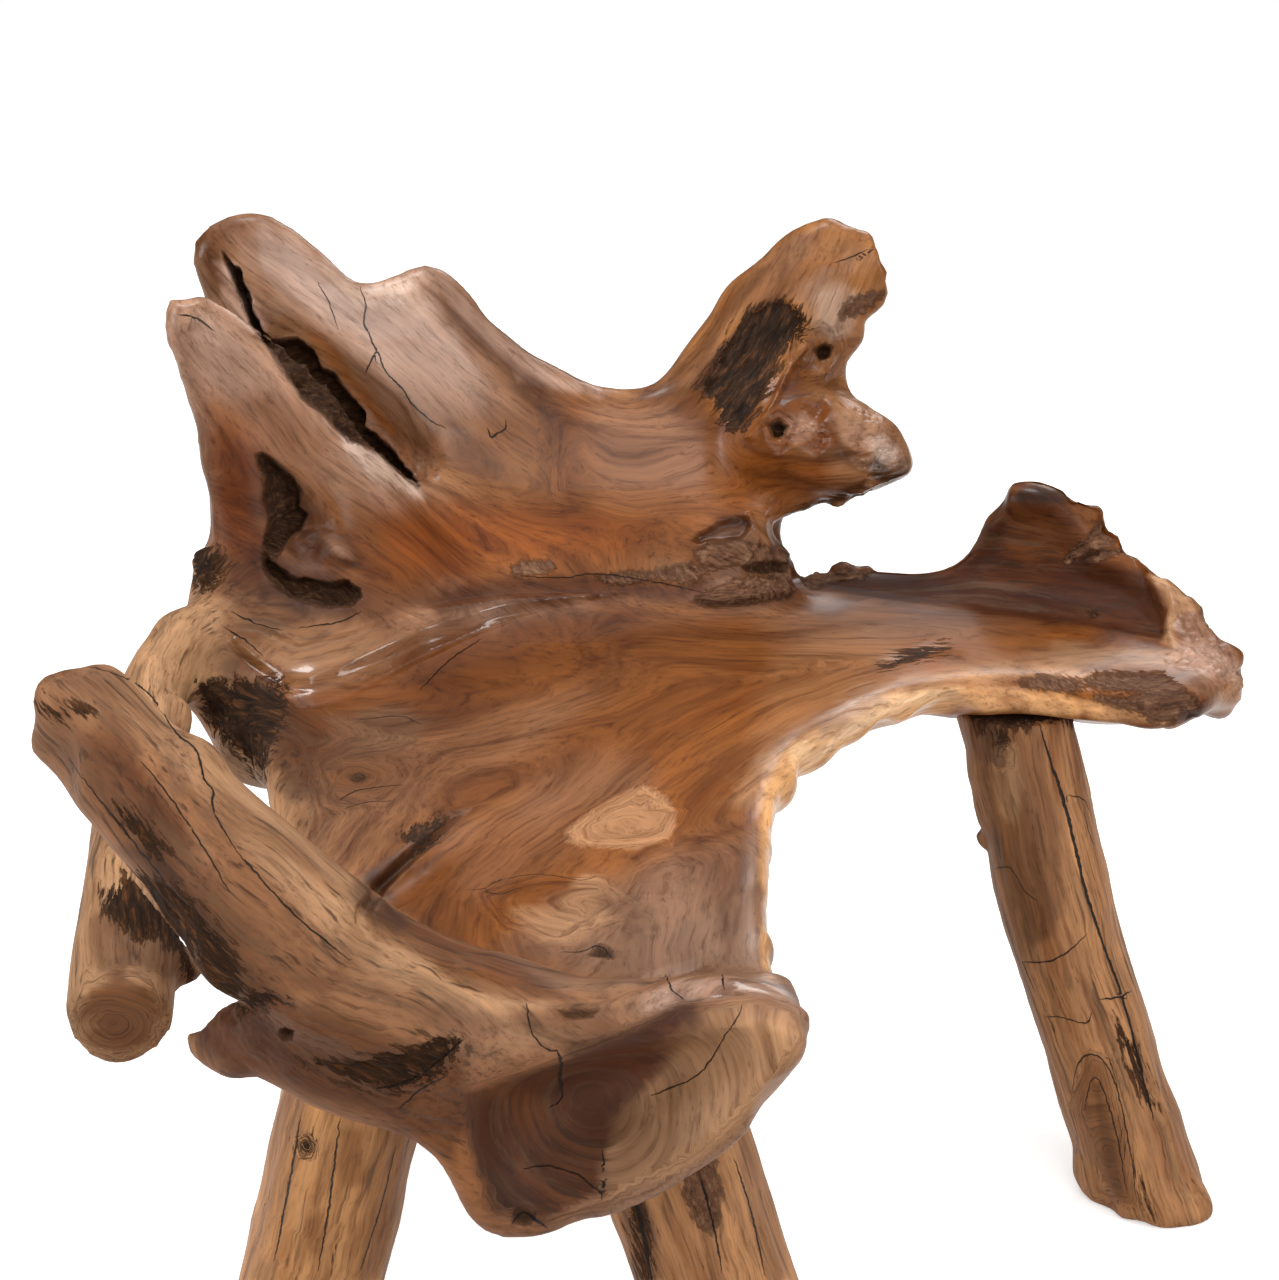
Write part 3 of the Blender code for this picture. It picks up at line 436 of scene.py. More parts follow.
# (pixel, move in pixels, reach in millimetres): lumps and notches of the outline
rootMoves = [
    (1104,522, -5,2, 8), (1112,545, -5,1, 8), (1120,532, 4,-2, 8), (1130,548, -7,3, 12), (1124,545, 4,0, 10),
    (1100,518, 6,-5, 14), (1078,492, -2,8, 10), (1092,510, 5,-4, 12), (995,500, 9,5, 24), (1200,602, 7,-4, 15),
    (1236,655, 12,-4, 22), (1216,716, 4,6, 22), (1180,724, -6,5, 16), (1150,722, 0,5, 30), (803,528, -34,-2, 34),
    (788,530, -14,0, 30), (803,580, -30,1, 26), (840,566, 0,-11, 18), (815,574, -3,-6, 12), (868,566, 2,-5, 12),
    (32,745, 19,-6, 50), (46,768, 10,-6, 40), (40,690, -11,-8, 40), (95,664, 0,3, 40), (122,676, 0,-4, 30),
    (180,722, 11,-8, 36), (200,752, 9,-8, 30), (205,705, 13,-6, 30), (235,765, 13,-8, 38), (120,1050, -2,11, 36),
    (80,1042, 1,3, 24), (180,962, 26,7, 22), (225,965, -14,13, 48), (206,1014, 4,10, 16), (225,1066, -5,14, 32),
    (200,1045, -9,2, 24), (858,224, -5,9, 30), (888,250, -12,6, 30), (866,231, -4,4, 14), (874,252, 6,-3, 16),
    (889,279, -5,-3, 12), (878,306, 6,2, 24), (860,342, 10,1, 24), (846,385, -18,2, 24), (904,464, 4,2, 16),
    (896,428, 3,-2, 30), (908,462, 4,0, 22), (800,512, 0,5, 30), (735,285, -4,-4, 40), (888,494, -2,-17, 26),
    (840,500, 0,10, 18), (170,312, 10,6, 18), (168,322, 8,2, 24), (182,298, 0,6, 16), (204,530, 12,0, 40),
    (198,270, -5,0, 30), (186,385, -4,0, 40), (207,470, -4,0, 40), (560,372, 3,-5, 40), (160,612, -4,-4, 30),
    (200,240, -3,3, 12), (520,355, -2,-5, 50), (915,724, 0,-30, 50), (880,738, 0,-10, 30), (935,718, 0,-14, 34),
    (960,712, 0,-10, 30), (815,765, 6,6, 40), (790,792, 9,8, 40), (775,850, 4,2, 28), (772,950, 5,0, 26),
    (480,1210, -4,3, 36), (440,1160, 5,-2, 20), (575,1226, 0,-5, 28), (500,1225, -2,4, 50), (770,1104, -13,-8, 30),
    (788,1078, -7,-4, 30), (808,1020, 6,-2, 18),
]

# (tone, soft edge in pixels, strength, outline); each lies over those before it. Besides the wood's own colours, some
# are painted shade in creases and hollows, and painted sheen and highlights
rootTones = [
    # foot of the back and of the left blade
    ("chestnut", 70, 0.9, 212,400, 262,440, 330,470, 400,500, 480,520, 560,505, 700,500, 720,560, 560,580, 440,600,
     360,620, 220,610, 200,520),
    ("coffee", 36, 0.6, 222,440, 258,450, 262,520, 265,600, 225,600, 214,520),
    # painted shade round the knot hollows at the blade's foot
    ("coffee", 14, 0.7, 256,530, 275,545, 300,565, 340,575, 366,583, 374,600, 350,618, 300,614, 262,600, 244,560),
    ("walnut", 24, 0.6, 370,560, 420,578, 440,600, 380,622, 350,612),
    ("coffee", 10, 0.6, 250,450, 262,446, 285,462, 306,490, 314,512, 306,520, 296,494, 276,470),
    ("rust", 40, 0.7, 380,500, 450,515, 520,530, 470,570, 400,590, 350,560),
    ("honey", 50, 0.75, 440,495, 560,490, 720,470, 790,500, 700,545, 560,552, 480,560),
    # the seat from back to front
    ("rust", 40, 0.85, 275,690, 330,690, 450,640, 560,610, 640,612, 600,650, 480,700, 340,760, 285,770),
    ("chestnut", 60, 0.85, 440,640, 600,600, 760,610, 800,640, 700,690, 560,760, 430,740, 400,700),
    ("honey", 40, 0.5, 440,650, 560,625, 620,640, 560,690, 480,700),
    # pale mauve where the seat turns into the wing, partly a painted sheen
    ("plum", 50, 0.6, 740,600, 900,600, 1000,610, 1040,630, 900,650, 780,650),
    ("chestnut", 40, 0.4, 900,640, 1060,630, 1150,650, 1090,664, 960,672, 850,690, 800,680),
    ("honey", 50, 0.6, 560,700, 700,660, 760,700, 720,780, 560,800),
    ("coffee", 26, 0.75, 272,700, 300,700, 330,730, 326,762, 300,800, 276,790, 268,740),
    ("ash", 16, 0.6, 326,722, 360,712, 400,712, 428,722, 412,745, 372,762, 330,758),
    ("tan", 30, 0.7, 300,820, 330,780, 430,745, 540,700, 600,690, 540,740, 440,790, 370,850, 330,900),
    ("chestnut", 14, 0.5, 420,760, 500,725, 560,700, 500,750, 430,785),
    ("amber", 8, 0.9, 326,775, 350,767, 380,772, 372,784, 335,788),
    # painted shade along the step and groove across the seat
    ("soot", 6, 0.8, 462,815, 430,834, 400,860, 376,886, 364,908, 366,922, 384,942, 394,948, 380,928, 373,912,
     384,892, 410,864, 440,838),
    ("coffee", 18, 0.8, 480,806, 440,832, 405,862, 380,890, 366,914, 374,936, 396,950, 380,952, 350,930, 346,905,
     372,872, 405,842, 440,815),
    ("rust", 40, 0.6, 395,900, 440,850, 520,825, 570,850, 500,890, 480,950, 400,935),
    ("rust", 10, 0.8, 470,890, 500,880, 560,878, 580,884, 540,898, 500,900),
    ("chestnut", 30, 0.4, 690,740, 750,740, 748,930, 700,900, 680,840),
    ("plum", 50, 0.75, 480,960, 600,880, 700,880, 745,960, 620,985, 520,985),
    ("cream", 7, 0.6, 508,898, 528,906, 556,902, 572,884, 588,874, 604,877, 607,905, 595,930, 560,945, 530,935,
     512,915),
    ("sapwood", 12, 0.95, 760,800, 768,770, 800,735, 850,712, 900,694, 960,686, 1040,692, 1100,702, 1180,726,
     1080,716, 960,708, 870,738, 800,783, 774,850, 768,940, 772,985, 763,960, 762,860),
    # pale wood along the wing's front edge, partly a painted sheen
    ("cream", 20, 0.75, 730,800, 770,745, 840,700, 900,676, 1000,662, 1090,664, 1090,680, 960,686, 850,712, 780,752,
     752,800),
    # the back's blades, with painted sheen on their faces and painted highlights on their edges
    ("pearl", 50, 0.8, 225,228, 290,250, 370,300, 430,300, 470,350, 490,420, 450,450, 380,380, 310,320, 255,270),
    ("pearl", 40, 0.55, 178,330, 215,320, 260,370, 300,420, 260,420, 215,385),
    ("tan", 40, 0.7, 230,370, 330,430, 400,480, 420,510, 340,520, 270,450, 225,420),
    ("amber", 50, 0.7, 430,400, 600,430, 640,480, 540,500, 440,480),
    ("walnut", 30, 0.85, 440,290, 470,310, 540,370, 590,420, 590,520, 560,520, 550,450, 500,370, 450,320),
    ("walnut", 16, 0.4, 172,330, 182,330, 212,420, 220,545, 206,545, 196,430),
    ("walnut", 18, 0.6, 200,235, 225,216, 240,225, 222,250, 226,290, 204,300),
    # a pale worn edge beside the cleft, with a painted highlight along it
    ("cream", 8, 0.8, 268,340, 297,330, 322,345, 345,372, 335,372, 316,352, 297,338),
    ("honey", 14, 0.8, 300,325, 335,345, 372,400, 415,460, 424,484, 400,462, 362,408, 330,366),
    # horn and knob
    ("chestnut", 24, 0.6, 640,392, 700,385, 760,300, 800,240, 830,226, 800,280, 740,350, 700,410),
    ("coffee", 26, 0.7, 690,400, 725,420, 745,440, 720,450, 660,420, 640,395, 670,390),
    ("rust", 24, 0.6, 690,440, 760,400, 790,350, 812,345, 800,390, 780,420, 820,470, 760,480, 700,490),
    ("rust", 16, 0.7, 745,440, 776,405, 792,360, 806,350, 800,380, 785,415, 770,450, 752,455),
    ("fawn", 20, 0.6, 800,290, 830,275, 850,300, 835,345, 812,335),
    ("rust", 22, 0.7, 700,455, 760,450, 830,460, 830,490, 780,515, 720,520),
    ("coffee", 14, 0.6, 800,400, 836,398, 836,440, 826,458, 795,450),
    ("walnut", 10, 0.8, 690,545, 750,538, 800,556, 800,592, 760,604, 696,604, 690,580),
    ("walnut", 8, 0.8, 688,542, 700,530, 720,518, 745,514, 752,519, 750,532, 745,539, 720,541, 700,545),
    # painted highlights on the ledge's lip and on the knob
    ("mist", 4, 0.8, 684,596, 724,578, 730,581, 690,600),
    ("mist", 8, 0.7, 838,415, 850,405, 870,408, 884,424, 886,440, 868,446, 850,444, 840,432),
    ("coffee", 8, 0.5, 836,440, 850,452, 868,462, 866,474, 846,466, 834,456),
    ("soot", 10, 0.8, 866,464, 880,448, 900,445, 911,460, 905,480, 888,489, 872,482),
    ("ash", 12, 0.3, 500,560, 560,552, 640,560, 690,567, 680,580, 600,576, 545,578, 505,576),
    # painted shade along the crease where the seat meets the back
    ("walnut", 8, 0.8, 520,574, 600,577, 700,584, 700,592, 600,582, 520,580),
    ("coffee", 6, 0.7, 636,396, 690,376, 728,338, 752,306, 776,292, 748,330, 720,372, 690,392, 655,404),
    ("walnut", 8, 0.7, 780,268, 800,240, 822,228, 812,250, 796,280, 782,290),
    ("walnut", 6, 0.8, 700,470, 740,462, 790,470, 820,486, 780,482, 730,476),
    ("coffee", 8, 0.8, 770,522, 800,506, 835,493, 866,478, 870,488, 838,504, 805,516, 778,530),
    ("rust", 10, 0.8, 774,412, 800,398, 828,396, 836,410, 824,424, 838,438, 818,456, 796,446, 780,452, 788,430),
    ("honey", 50, 0.7, 560,385, 640,400, 760,410, 760,500, 640,500, 560,480),
    # curled wall: dark wood, with painted shade on the hollow wall and in the crease at its foot
    ("walnut", 6, 0.9, 815,588, 870,597, 938,606, 1000,614, 1060,622, 1110,630, 1166,641, 1170,628, 1162,600,
     1140,572, 1096,556, 1066,500, 1005,490, 985,530, 940,556, 880,574, 815,574),
    ("coffee", 26, 0.8, 960,590, 1000,560, 1030,530, 1060,520, 1090,565, 1150,590, 1162,632, 1100,622, 1030,606),
    ("coffee", 10, 0.5, 815,572, 900,572, 985,575, 990,604, 938,604, 870,594, 815,586),
    ("chestnut", 14, 0.5, 880,590, 1000,596, 1100,612, 1160,622, 1166,640, 1060,622, 938,606),
    ("umber", 24, 0.6, 1090,575, 1130,580, 1160,600, 1164,634, 1110,622, 1070,610),
    ("rust", 20, 0.5, 960,560, 1000,530, 1050,520, 1070,560, 1040,590, 980,588),
    ("soot", 9, 0.6, 1094,590, 1104,585, 1108,596, 1098,600),
    ("umber", 12, 0.6, 1120,596, 1140,592, 1148,610, 1132,616),
    ("soot", 10, 0.75, 1006,500, 1028,484, 1060,485, 1072,500, 1040,508),
    ("coffee", 16, 0.8, 880,576, 935,562, 975,535, 1000,505, 1020,520, 1000,560, 960,592, 900,590),
    ("walnut", 14, 0.7, 900,572, 950,555, 990,520, 1010,496, 1000,540, 960,575, 920,586),
    # the pale rim at the curl's end, with a painted highlight along its outer edge
    ("cream", 7, 0.85, 1150,576, 1166,577, 1189,593, 1204,609, 1180,613, 1172,628, 1182,643, 1176,652, 1162,642,
     1168,612, 1162,592),
    ("fawn", 12, 0.7, 1060,640, 1160,652, 1180,650, 1160,668, 1080,668, 1040,660),
    ("mist", 10, 0.6, 1180,614, 1206,612, 1230,640, 1243,665, 1243,690, 1215,700, 1190,690, 1160,662, 1184,646),
    ("sienna", 8, 0.7, 1226,686, 1246,680, 1246,704, 1222,714, 1208,712),
    ("coffee", 6, 0.8, 1180,708, 1192,703, 1203,712, 1198,722, 1184,726, 1176,720),
    # dished end, with painted shadow under the upper edge and a painted highlight along the rim
    ("walnut", 7, 0.95, 462,1095, 520,1075, 600,1050, 680,1012, 655,1080, 612,1118, 596,1195, 540,1225, 490,1210),
    ("coffee", 20, 0.7, 462,1090, 500,1100, 520,1180, 560,1210, 540,1225, 490,1210, 464,1140),
    ("coffee", 10, 0.6, 520,1078, 600,1046, 640,1026, 684,1010, 668,1050, 620,1080, 560,1100, 530,1100),
    ("fawn", 12, 0.7, 684,1010, 760,1002, 800,1015, 805,1050, 700,1160, 600,1205, 614,1116, 658,1076),
    ("walnut", 40, 0.35, 684,1010, 716,1006, 700,1080, 660,1150, 600,1205, 614,1116, 658,1076),
    ("cream", 30, 0.5, 740,1010, 800,1010, 810,1050, 720,1140, 700,1120, 750,1060),
    ("pearl", 12, 0.6, 690,978, 757,972, 800,1000, 805,1020, 760,990, 700,996, 640,1015, 640,1000),
    ("plum", 30, 0.5, 430,968, 520,1004, 610,1010, 640,1010, 560,1050, 470,1080, 440,1040),
    # what lies darker or paler over these, painted shade and painted highlights among them
    ("russet", 40, 0.45, 380,500, 480,505, 560,510, 640,520, 620,560, 560,575, 440,585, 390,560),
    ("honey", 16, 0.6, 470,560, 560,548, 640,556, 690,590, 600,596, 480,592),
    ("russet", 30, 0.45, 215,410, 255,430, 258,540, 218,560),
    ("walnut", 50, 0.35, 290,700, 430,700, 500,720, 440,800, 380,860, 320,880, 280,800),
    # painted highlights on the rounded sapwood edge and along the top edges of the blades
    ("bleached", 14, 0.95, 790,748, 850,705, 900,690, 960,690, 900,714, 850,737, 800,778),
    ("pearl", 10, 0.8, 262,218, 300,240, 360,288, 425,265, 440,268, 470,300, 520,352, 560,378, 600,388, 600,396,
     550,388, 500,356, 462,316, 436,282, 380,300, 350,296, 290,252, 256,232),
    # pale wood along the front arm's upper edge, partly a painted sheen
    ("cream", 18, 0.8, 130,668, 176,690, 240,752, 310,840, 390,912, 470,968, 540,1000, 560,1010, 470,1010, 370,960,
     280,890, 200,800, 150,715),
    ("walnut", 30, 0.35, 60,740, 110,740, 200,850, 290,950, 330,1000, 270,985, 200,920, 120,830),
    ("walnut", 16, 0.6, 104,900, 190,900, 190,985, 160,975, 120,965),
    # painted shade in the groove
    ("coffee", 24, 0.4, 372,880, 440,850, 470,880, 430,930, 390,940),
    # painted highlights on the knob's tip and on the second blade's lower edge
    ("mist", 8, 0.5, 866,432, 896,436, 906,455, 888,458, 872,452),
    ("pearl", 8, 0.85, 336,420, 366,446, 390,462, 421,488, 424,499, 400,490, 366,470, 340,447),
    # painted shadow under the rim's upper edge
    ("coffee", 8, 0.7, 560,1050, 620,1030, 680,1002, 700,1000, 690,1020, 640,1045, 580,1066),
    ("walnut", 14, 0.5, 690,385, 735,330, 770,285, 805,250, 782,300, 745,350, 705,395),
    ("tan", 30, 0.5, 775,250, 830,230, 860,245, 850,275, 800,285),
    ("mist", 16, 0.35, 800,282, 830,275, 836,300, 816,318, 800,300),
    ("walnut", 16, 0.6, 776,405, 806,340, 830,320, 850,335, 838,372, 845,396, 800,396),
    ("mist", 60, 0.4, 600,400, 680,410, 730,440, 700,500, 620,500, 580,450),
    ("chestnut", 24, 0.5, 215,390, 262,400, 300,455, 262,455, 222,440),
    ("chestnut", 30, 0.45, 450,400, 560,420, 560,500, 480,500),
    ("walnut", 12, 0.8, 296,546, 312,526, 334,530, 356,552, 366,568, 345,574, 312,566),
    # a painted highlight on the bulge in the knot hollow
    ("mist", 7, 0.4, 312,534, 330,532, 350,550, 358,562, 340,556, 322,544),
    # painted shade along the foot of the back, and below the ridge at the seat's back left corner
    ("walnut", 12, 0.7, 430,596, 500,576, 600,580, 700,588, 770,604, 700,600, 600,596, 500,600, 440,612),
    ("coffee", 16, 0.5, 222,650, 250,660, 290,690, 262,694, 225,676),
    ("walnut", 22, 0.55, 300,745, 340,735, 400,745, 420,770, 390,800, 330,810, 300,790),
    ("coffee", 5, 0.7, 348,778, 358,772, 372,776, 362,783),
    # painted sheen where the seat turns into the wing, painted glints on the sapwood edge and the wing's end, and
    # painted highlights on the blades' edges
    ("cream", 26, 0.25, 770,655, 840,628, 900,640, 900,672, 840,700, 790,735, 756,770, 750,740),
    ("pearl", 12, 0.7, 815,722, 845,704, 880,694, 886,702, 850,722, 822,738),
    ("pearl", 12, 0.5, 1170,640, 1200,640, 1236,660, 1240,680, 1200,676, 1170,660),
    ("mist", 12, 0.6, 330,396, 372,436, 420,478, 425,496, 385,476, 340,430),
    ("pearl", 8, 0.9, 214,262, 236,262, 262,320, 268,340, 250,332, 228,310),
    ("soot", 14, 0.6, 150,880, 190,905, 225,950, 250,1005, 225,1003, 196,985, 170,940),
    ("walnut", 14, 0.6, 190,1030, 222,1002, 262,1010, 300,1060, 240,1076, 200,1056),
    # painted shade on the curled wall and its crease, in front of the back's foot, beside the left blade's hollows
    # and under the rim
    ("cocoa", 14, 0.55, 815,572, 900,572, 960,560, 1000,530, 1060,520, 1096,560, 1150,590, 1166,636, 1060,622,
     938,606, 870,597, 815,588),
    ("cocoa", 40, 0.35, 420,660, 520,615, 640,610, 660,640, 520,690, 440,700, 400,690),
    ("cocoa", 24, 0.4, 215,430, 255,450, 262,530, 255,590, 222,580),
    ("cocoa", 16, 0.5, 560,1080, 640,1040, 660,1034, 664,1060, 640,1100, 612,1140, 590,1140, 570,1110),
    ("chestnut", 24, 0.45, 390,900, 450,850, 540,856, 540,905, 480,940, 400,935),
    ("chestnut", 24, 0.4, 450,790, 500,760, 540,770, 500,810, 440,830),
    ("plum", 40, 0.35, 540,770, 600,750, 650,765, 640,800, 600,800, 540,830, 500,830),
    ("tan", 14, 0.6, 640,392, 700,338, 745,272, 790,234, 815,240, 790,292, 762,300, 735,328, 705,372, 690,388),
    ("walnut", 8, 0.6, 656,390, 690,352, 722,306, 752,272, 780,256, 760,284, 730,322, 705,358, 680,384),
    ("coffee", 8, 0.5, 696,532, 745,516, 760,530, 766,547, 745,552, 696,552),
    # painted highlights on the knob and its tip
    ("mist", 8, 0.6, 784,420, 806,410, 820,424, 812,442, 794,446, 782,434),
    ("tan", 14, 0.5, 838,412, 856,404, 880,420, 884,440, 856,444, 838,432),
    ("mist", 6, 0.5, 884,446, 904,448, 908,466, 896,474, 884,464),
    ("chestnut", 10, 0.4, 1096,700, 1140,704, 1180,722, 1150,728, 1110,716),
    # a painted highlight on the second blade's lower edge
    ("mist", 20, 0.5, 328,438, 380,466, 412,498, 392,512, 350,482, 320,456),
    ("chestnut", 24, 0.35, 252,390, 300,400, 335,438, 322,458, 280,430, 248,405),
    ("walnut", 14, 0.45, 200,235, 225,216, 246,222, 246,250, 225,262, 205,270),
    ("tan", 30, 0.5, 398,370, 450,380, 474,430, 430,440, 395,400),
    ("walnut", 20, 0.3, 440,305, 480,320, 490,350, 460,350, 436,325),
    ("umber", 20, 0.4, 192,1032, 225,1005, 262,1015, 300,1060, 240,1074, 205,1055),
    ("chestnut", 7, 0.8, 360,902, 400,920, 440,934, 484,946, 526,966, 540,988, 505,988, 470,978, 430,962, 400,950,
     374,934),
    ("chestnut", 20, 0.5, 82,738, 104,710, 124,712, 150,780, 168,800, 150,815, 110,770, 86,756),
    # pale wood along the arm, partly a painted sheen, and painted shade along its rounded edge
    ("cream", 14, 0.6, 196,742, 226,762, 270,826, 310,870, 345,908, 352,924, 310,900, 262,850, 215,790, 190,756),
    ("walnut", 6, 0.2, 216,742, 262,782, 300,812, 340,862, 360,900, 346,902, 318,868, 280,826, 240,786),
    ("chestnut", 12, 0.6, 236,650, 262,655, 294,670, 292,690, 262,690, 236,678),
    # painted shade in the creases at the foot of the back, under the ledge and at the foot of the curled wall
    ("cocoa", 14, 0.5, 430,600, 500,578, 600,572, 700,580, 790,594, 860,598, 840,616, 700,606, 600,598, 500,606,
     440,618),
    ("cocoa", 10, 0.5, 880,596, 1000,606, 1100,618, 1164,630, 1160,650, 1060,638, 960,622, 880,612),
    ("chestnut", 16, 0.4, 786,262, 820,248, 842,262, 830,285, 800,300, 786,285),
    # painted shade in the groove
    ("coffee", 10, 0.6, 352,885, 372,872, 392,895, 410,925, 395,938, 372,925, 356,905),
    ("chestnut", 10, 0.6, 440,950, 500,962, 540,980, 560,996, 520,1002, 470,990, 436,972),
    # painted shadow under the rim's upper edge
    ("cocoa", 14, 0.6, 590,1050, 650,1020, 690,1000, 706,1002, 692,1040, 650,1075, 606,1085),
    ("tan", 12, 0.5, 740,1000, 790,1004, 804,1022, 790,1026, 745,1014),
    ("walnut", 14, 0.6, 92,915, 130,905, 140,960, 110,980, 92,965),
    ("walnut", 12, 0.7, 118,744, 138,752, 170,800, 200,850, 188,856, 150,812, 122,770),
    ("chestnut", 20, 0.5, 308,488, 340,500, 382,520, 372,542, 330,532, 305,512),
    ("coffee", 8, 0.6, 284,548, 300,530, 318,530, 330,548, 320,566, 296,566),
    ("tan", 16, 0.5, 256,262, 280,270, 312,320, 298,332, 270,320, 256,290),
    # painted highlights where the oil catches the light, on the blades and on the knob and horn
    ("frost", 14, 0.6, 326,270, 362,290, 392,286, 414,276, 416,288, 396,306, 356,308, 334,294),
    ("frost", 6, 0.55, 340,424, 366,444, 392,462, 420,484, 424,498, 398,490, 366,472, 344,450),
    ("frost", 8, 0.5, 868,440, 884,434, 898,446, 896,460, 880,462, 868,452),
    ("frost", 14, 0.35, 818,290, 845,284, 862,300, 850,332, 832,340, 820,320),
    ("chestnut", 14, 0.5, 1008,505, 1060,505, 1086,540, 1060,560, 1020,560, 998,540),
    ("cream", 20, 0.5, 296,900, 345,915, 400,960, 450,992, 430,1006, 370,982, 306,935),
    ("fawn", 16, 0.4, 490,1020, 560,1016, 612,1018, 560,1044, 500,1058),
    ("plum", 40, 0.3, 440,830, 540,780, 640,760, 660,800, 560,860, 470,900),
    # arms
    ("walnut", 34, 0.5, 60,770, 100,820, 150,880, 230,990, 275,985, 220,880, 165,800, 110,735, 60,700, 40,715),
    ("umber", 14, 0.6, 120,850, 150,890, 200,955, 240,1000, 262,985, 225,930, 180,880, 140,840),
    ("chestnut", 26, 0.4, 120,740, 165,790, 230,880, 300,960, 340,960, 270,880, 200,790, 150,735),
    ("fawn", 30, 0.5, 90,672, 160,690, 230,770, 320,880, 420,960, 440,1000, 300,900, 200,790, 120,720),
    ("walnut", 24, 0.85, 186,1030, 225,1000, 262,985, 330,1010, 400,1040, 460,1060, 470,1100, 452,1160, 380,1120,
     240,1075),
    ("chestnut", 10, 0.8, 78,1010, 90,988, 120,978, 150,986, 160,1012, 148,1040, 118,1052, 90,1040),
    ("cream", 20, 0.5, 140,640, 165,615, 200,596, 232,600, 220,630, 180,660, 150,690, 130,680),
]

# (dullness, soft edge in pixels, outline): how matt the oiled skin is, 0 as polished, 1 as weathered
rootSheen = [
    (0.0, 20, 215,625, 262,640, 300,660, 350,645, 418,620, 500,600, 700,585, 700,600, 500,630, 400,670, 312,700,
     262,690),
    (0.3, 20, 735,790, 800,715, 900,670, 1080,660, 1090,690, 960,700, 870,730, 790,790, 775,980, 740,980),
    (0.85, 16, 815,590, 938,607, 1060,623, 1166,641, 1160,585, 1095,560, 1060,500, 1005,500, 950,560, 880,575),
    (0.85, 24, 452,1080, 560,1050, 680,1005, 655,1080, 600,1205, 540,1245, 480,1215),
    (1.0, 30, 186,1030, 225,1000, 300,985, 400,1030, 470,1060, 470,1100, 460,1170, 380,1130, 240,1080),
    (0.65, 24, 690,1012, 800,1010, 805,1050, 700,1160, 605,1200, 618,1120, 662,1080),
    (0.05, 16, 866,440, 912,440, 915,485, 880,495, 862,475),
    (0.1, 16, 660,985, 700,970, 770,970, 800,1000, 760,998, 690,1006),
    (0.1, 20, 225,228, 290,250, 370,300, 430,300, 480,350, 490,420, 440,440, 380,370, 310,315, 250,270),
    (0.05, 14, 800,745, 850,705, 900,688, 905,700, 860,732, 812,760),
    (0.7, 16, 290,548, 308,524, 328,525, 350,543, 364,566, 338,576, 302,562),
]

# (centre, how tight the rings are, soft edge in pixels, outline): where the growth lines run round in rings
rootRings = [
    (640,391, 0.7, 50, 530,390, 640,400, 740,420, 760,500, 640,530, 540,510),
    (590,1100, 0.75, 10, 462,1085, 520,1066, 600,1036, 680,1002, 761,992, 800,1006, 810,1040, 780,1085, 700,1160,
     610,1205, 540,1228, 490,1212, 466,1140),
    (113,1017, 1.4, 5, 70,1010, 82,980, 120,968, 156,978, 166,1010, 152,1046, 120,1062, 84,1046),
    (357,777, 1.6, 26, 300,750, 350,735, 420,745, 430,775, 390,815, 320,815),
    (632,822, 0.45, 16, 560,838, 600,800, 642,782, 684,810, 672,845, 600,852),
    (590,905, 0.6, 16, 470,890, 540,872, 610,872, 625,910, 560,950, 500,930),
    (800,354, 2.0, 16, 790,330, 824,318, 850,345, 836,380, 800,390, 784,360),
    (778,428, 2.0, 16, 750,420, 778,400, 806,420, 790,450, 760,450),
]

# (half width in millimetres, route in pixels)
rootCracks = [
    (0.6, 360,288, 366,305, 364,322, 374,345, 378,352, 386,372, 402,388, 412,404, 430,420, 444,428),
    (0.4, 318,284, 326,296, 332,310, 338,328), (0.7, 378,350, 372,358, 366,372), (0.7, 180,315, 196,318, 213,330),
    (0.6, 488,430, 492,438, 496,434, 504,430, 506,422),
    (0.7, 70,668, 88,667, 120,676, 150,695, 178,735, 196,750, 204,778, 213,790, 214,812, 236,850),
    (0.4, 236,850, 262,880, 300,920, 350,960), (0.9, 556,1050, 561,1062, 560,1080, 563,1098),
    (0.4, 526,1004, 530,1025, 536,1040, 548,1050, 556,1052), (0.4, 563,1098, 556,1104, 546,1110),
    (0.5, 722,974, 724,990), (0.35, 743,1004, 736,1020, 722,1040, 708,1064, 690,1080, 665,1090, 650,1096),
    (0.5, 666,976, 672,990, 684,1000), (0.4, 524,1168, 550,1166, 580,1176, 600,1192, 604,1184, 602,1165),
    (0.5, 602,1150, 604,1175, 602,1200), (0.9, 512,1222, 522,1212, 534,1218, 546,1228),
    (0.35, 468,890, 486,888, 500,880, 540,874, 580,880, 596,876), (0.6, 486,892, 500,894, 520,888),
    (0.6, 562,952, 580,952, 600,946, 612,958), (0.4, 520,576, 560,578, 600,574, 660,583, 700,592),
    (0.5, 225,628, 245,640, 262,655), (0.5, 232,612, 258,624, 280,630), (0.5, 300,628, 340,622, 360,612),
    (0.8, 380,1088, 410,1080, 440,1060, 462,1040), (0.5, 400,1108, 420,1090, 446,1076),
    (0.5, 340,800, 356,791, 380,787, 402,785), (0.4, 346,808, 368,802, 392,801),
    (0.5, 70,760, 100,800, 140,850, 180,900), (0.4, 140,760, 172,800, 205,850, 228,890),
    (0.4, 420,690, 450,660, 480,640), (0.4, 360,720, 400,716, 420,724), (0.4, 860,260, 870,252, 884,246),
    (0.4, 836,262, 850,258, 866,250),
]

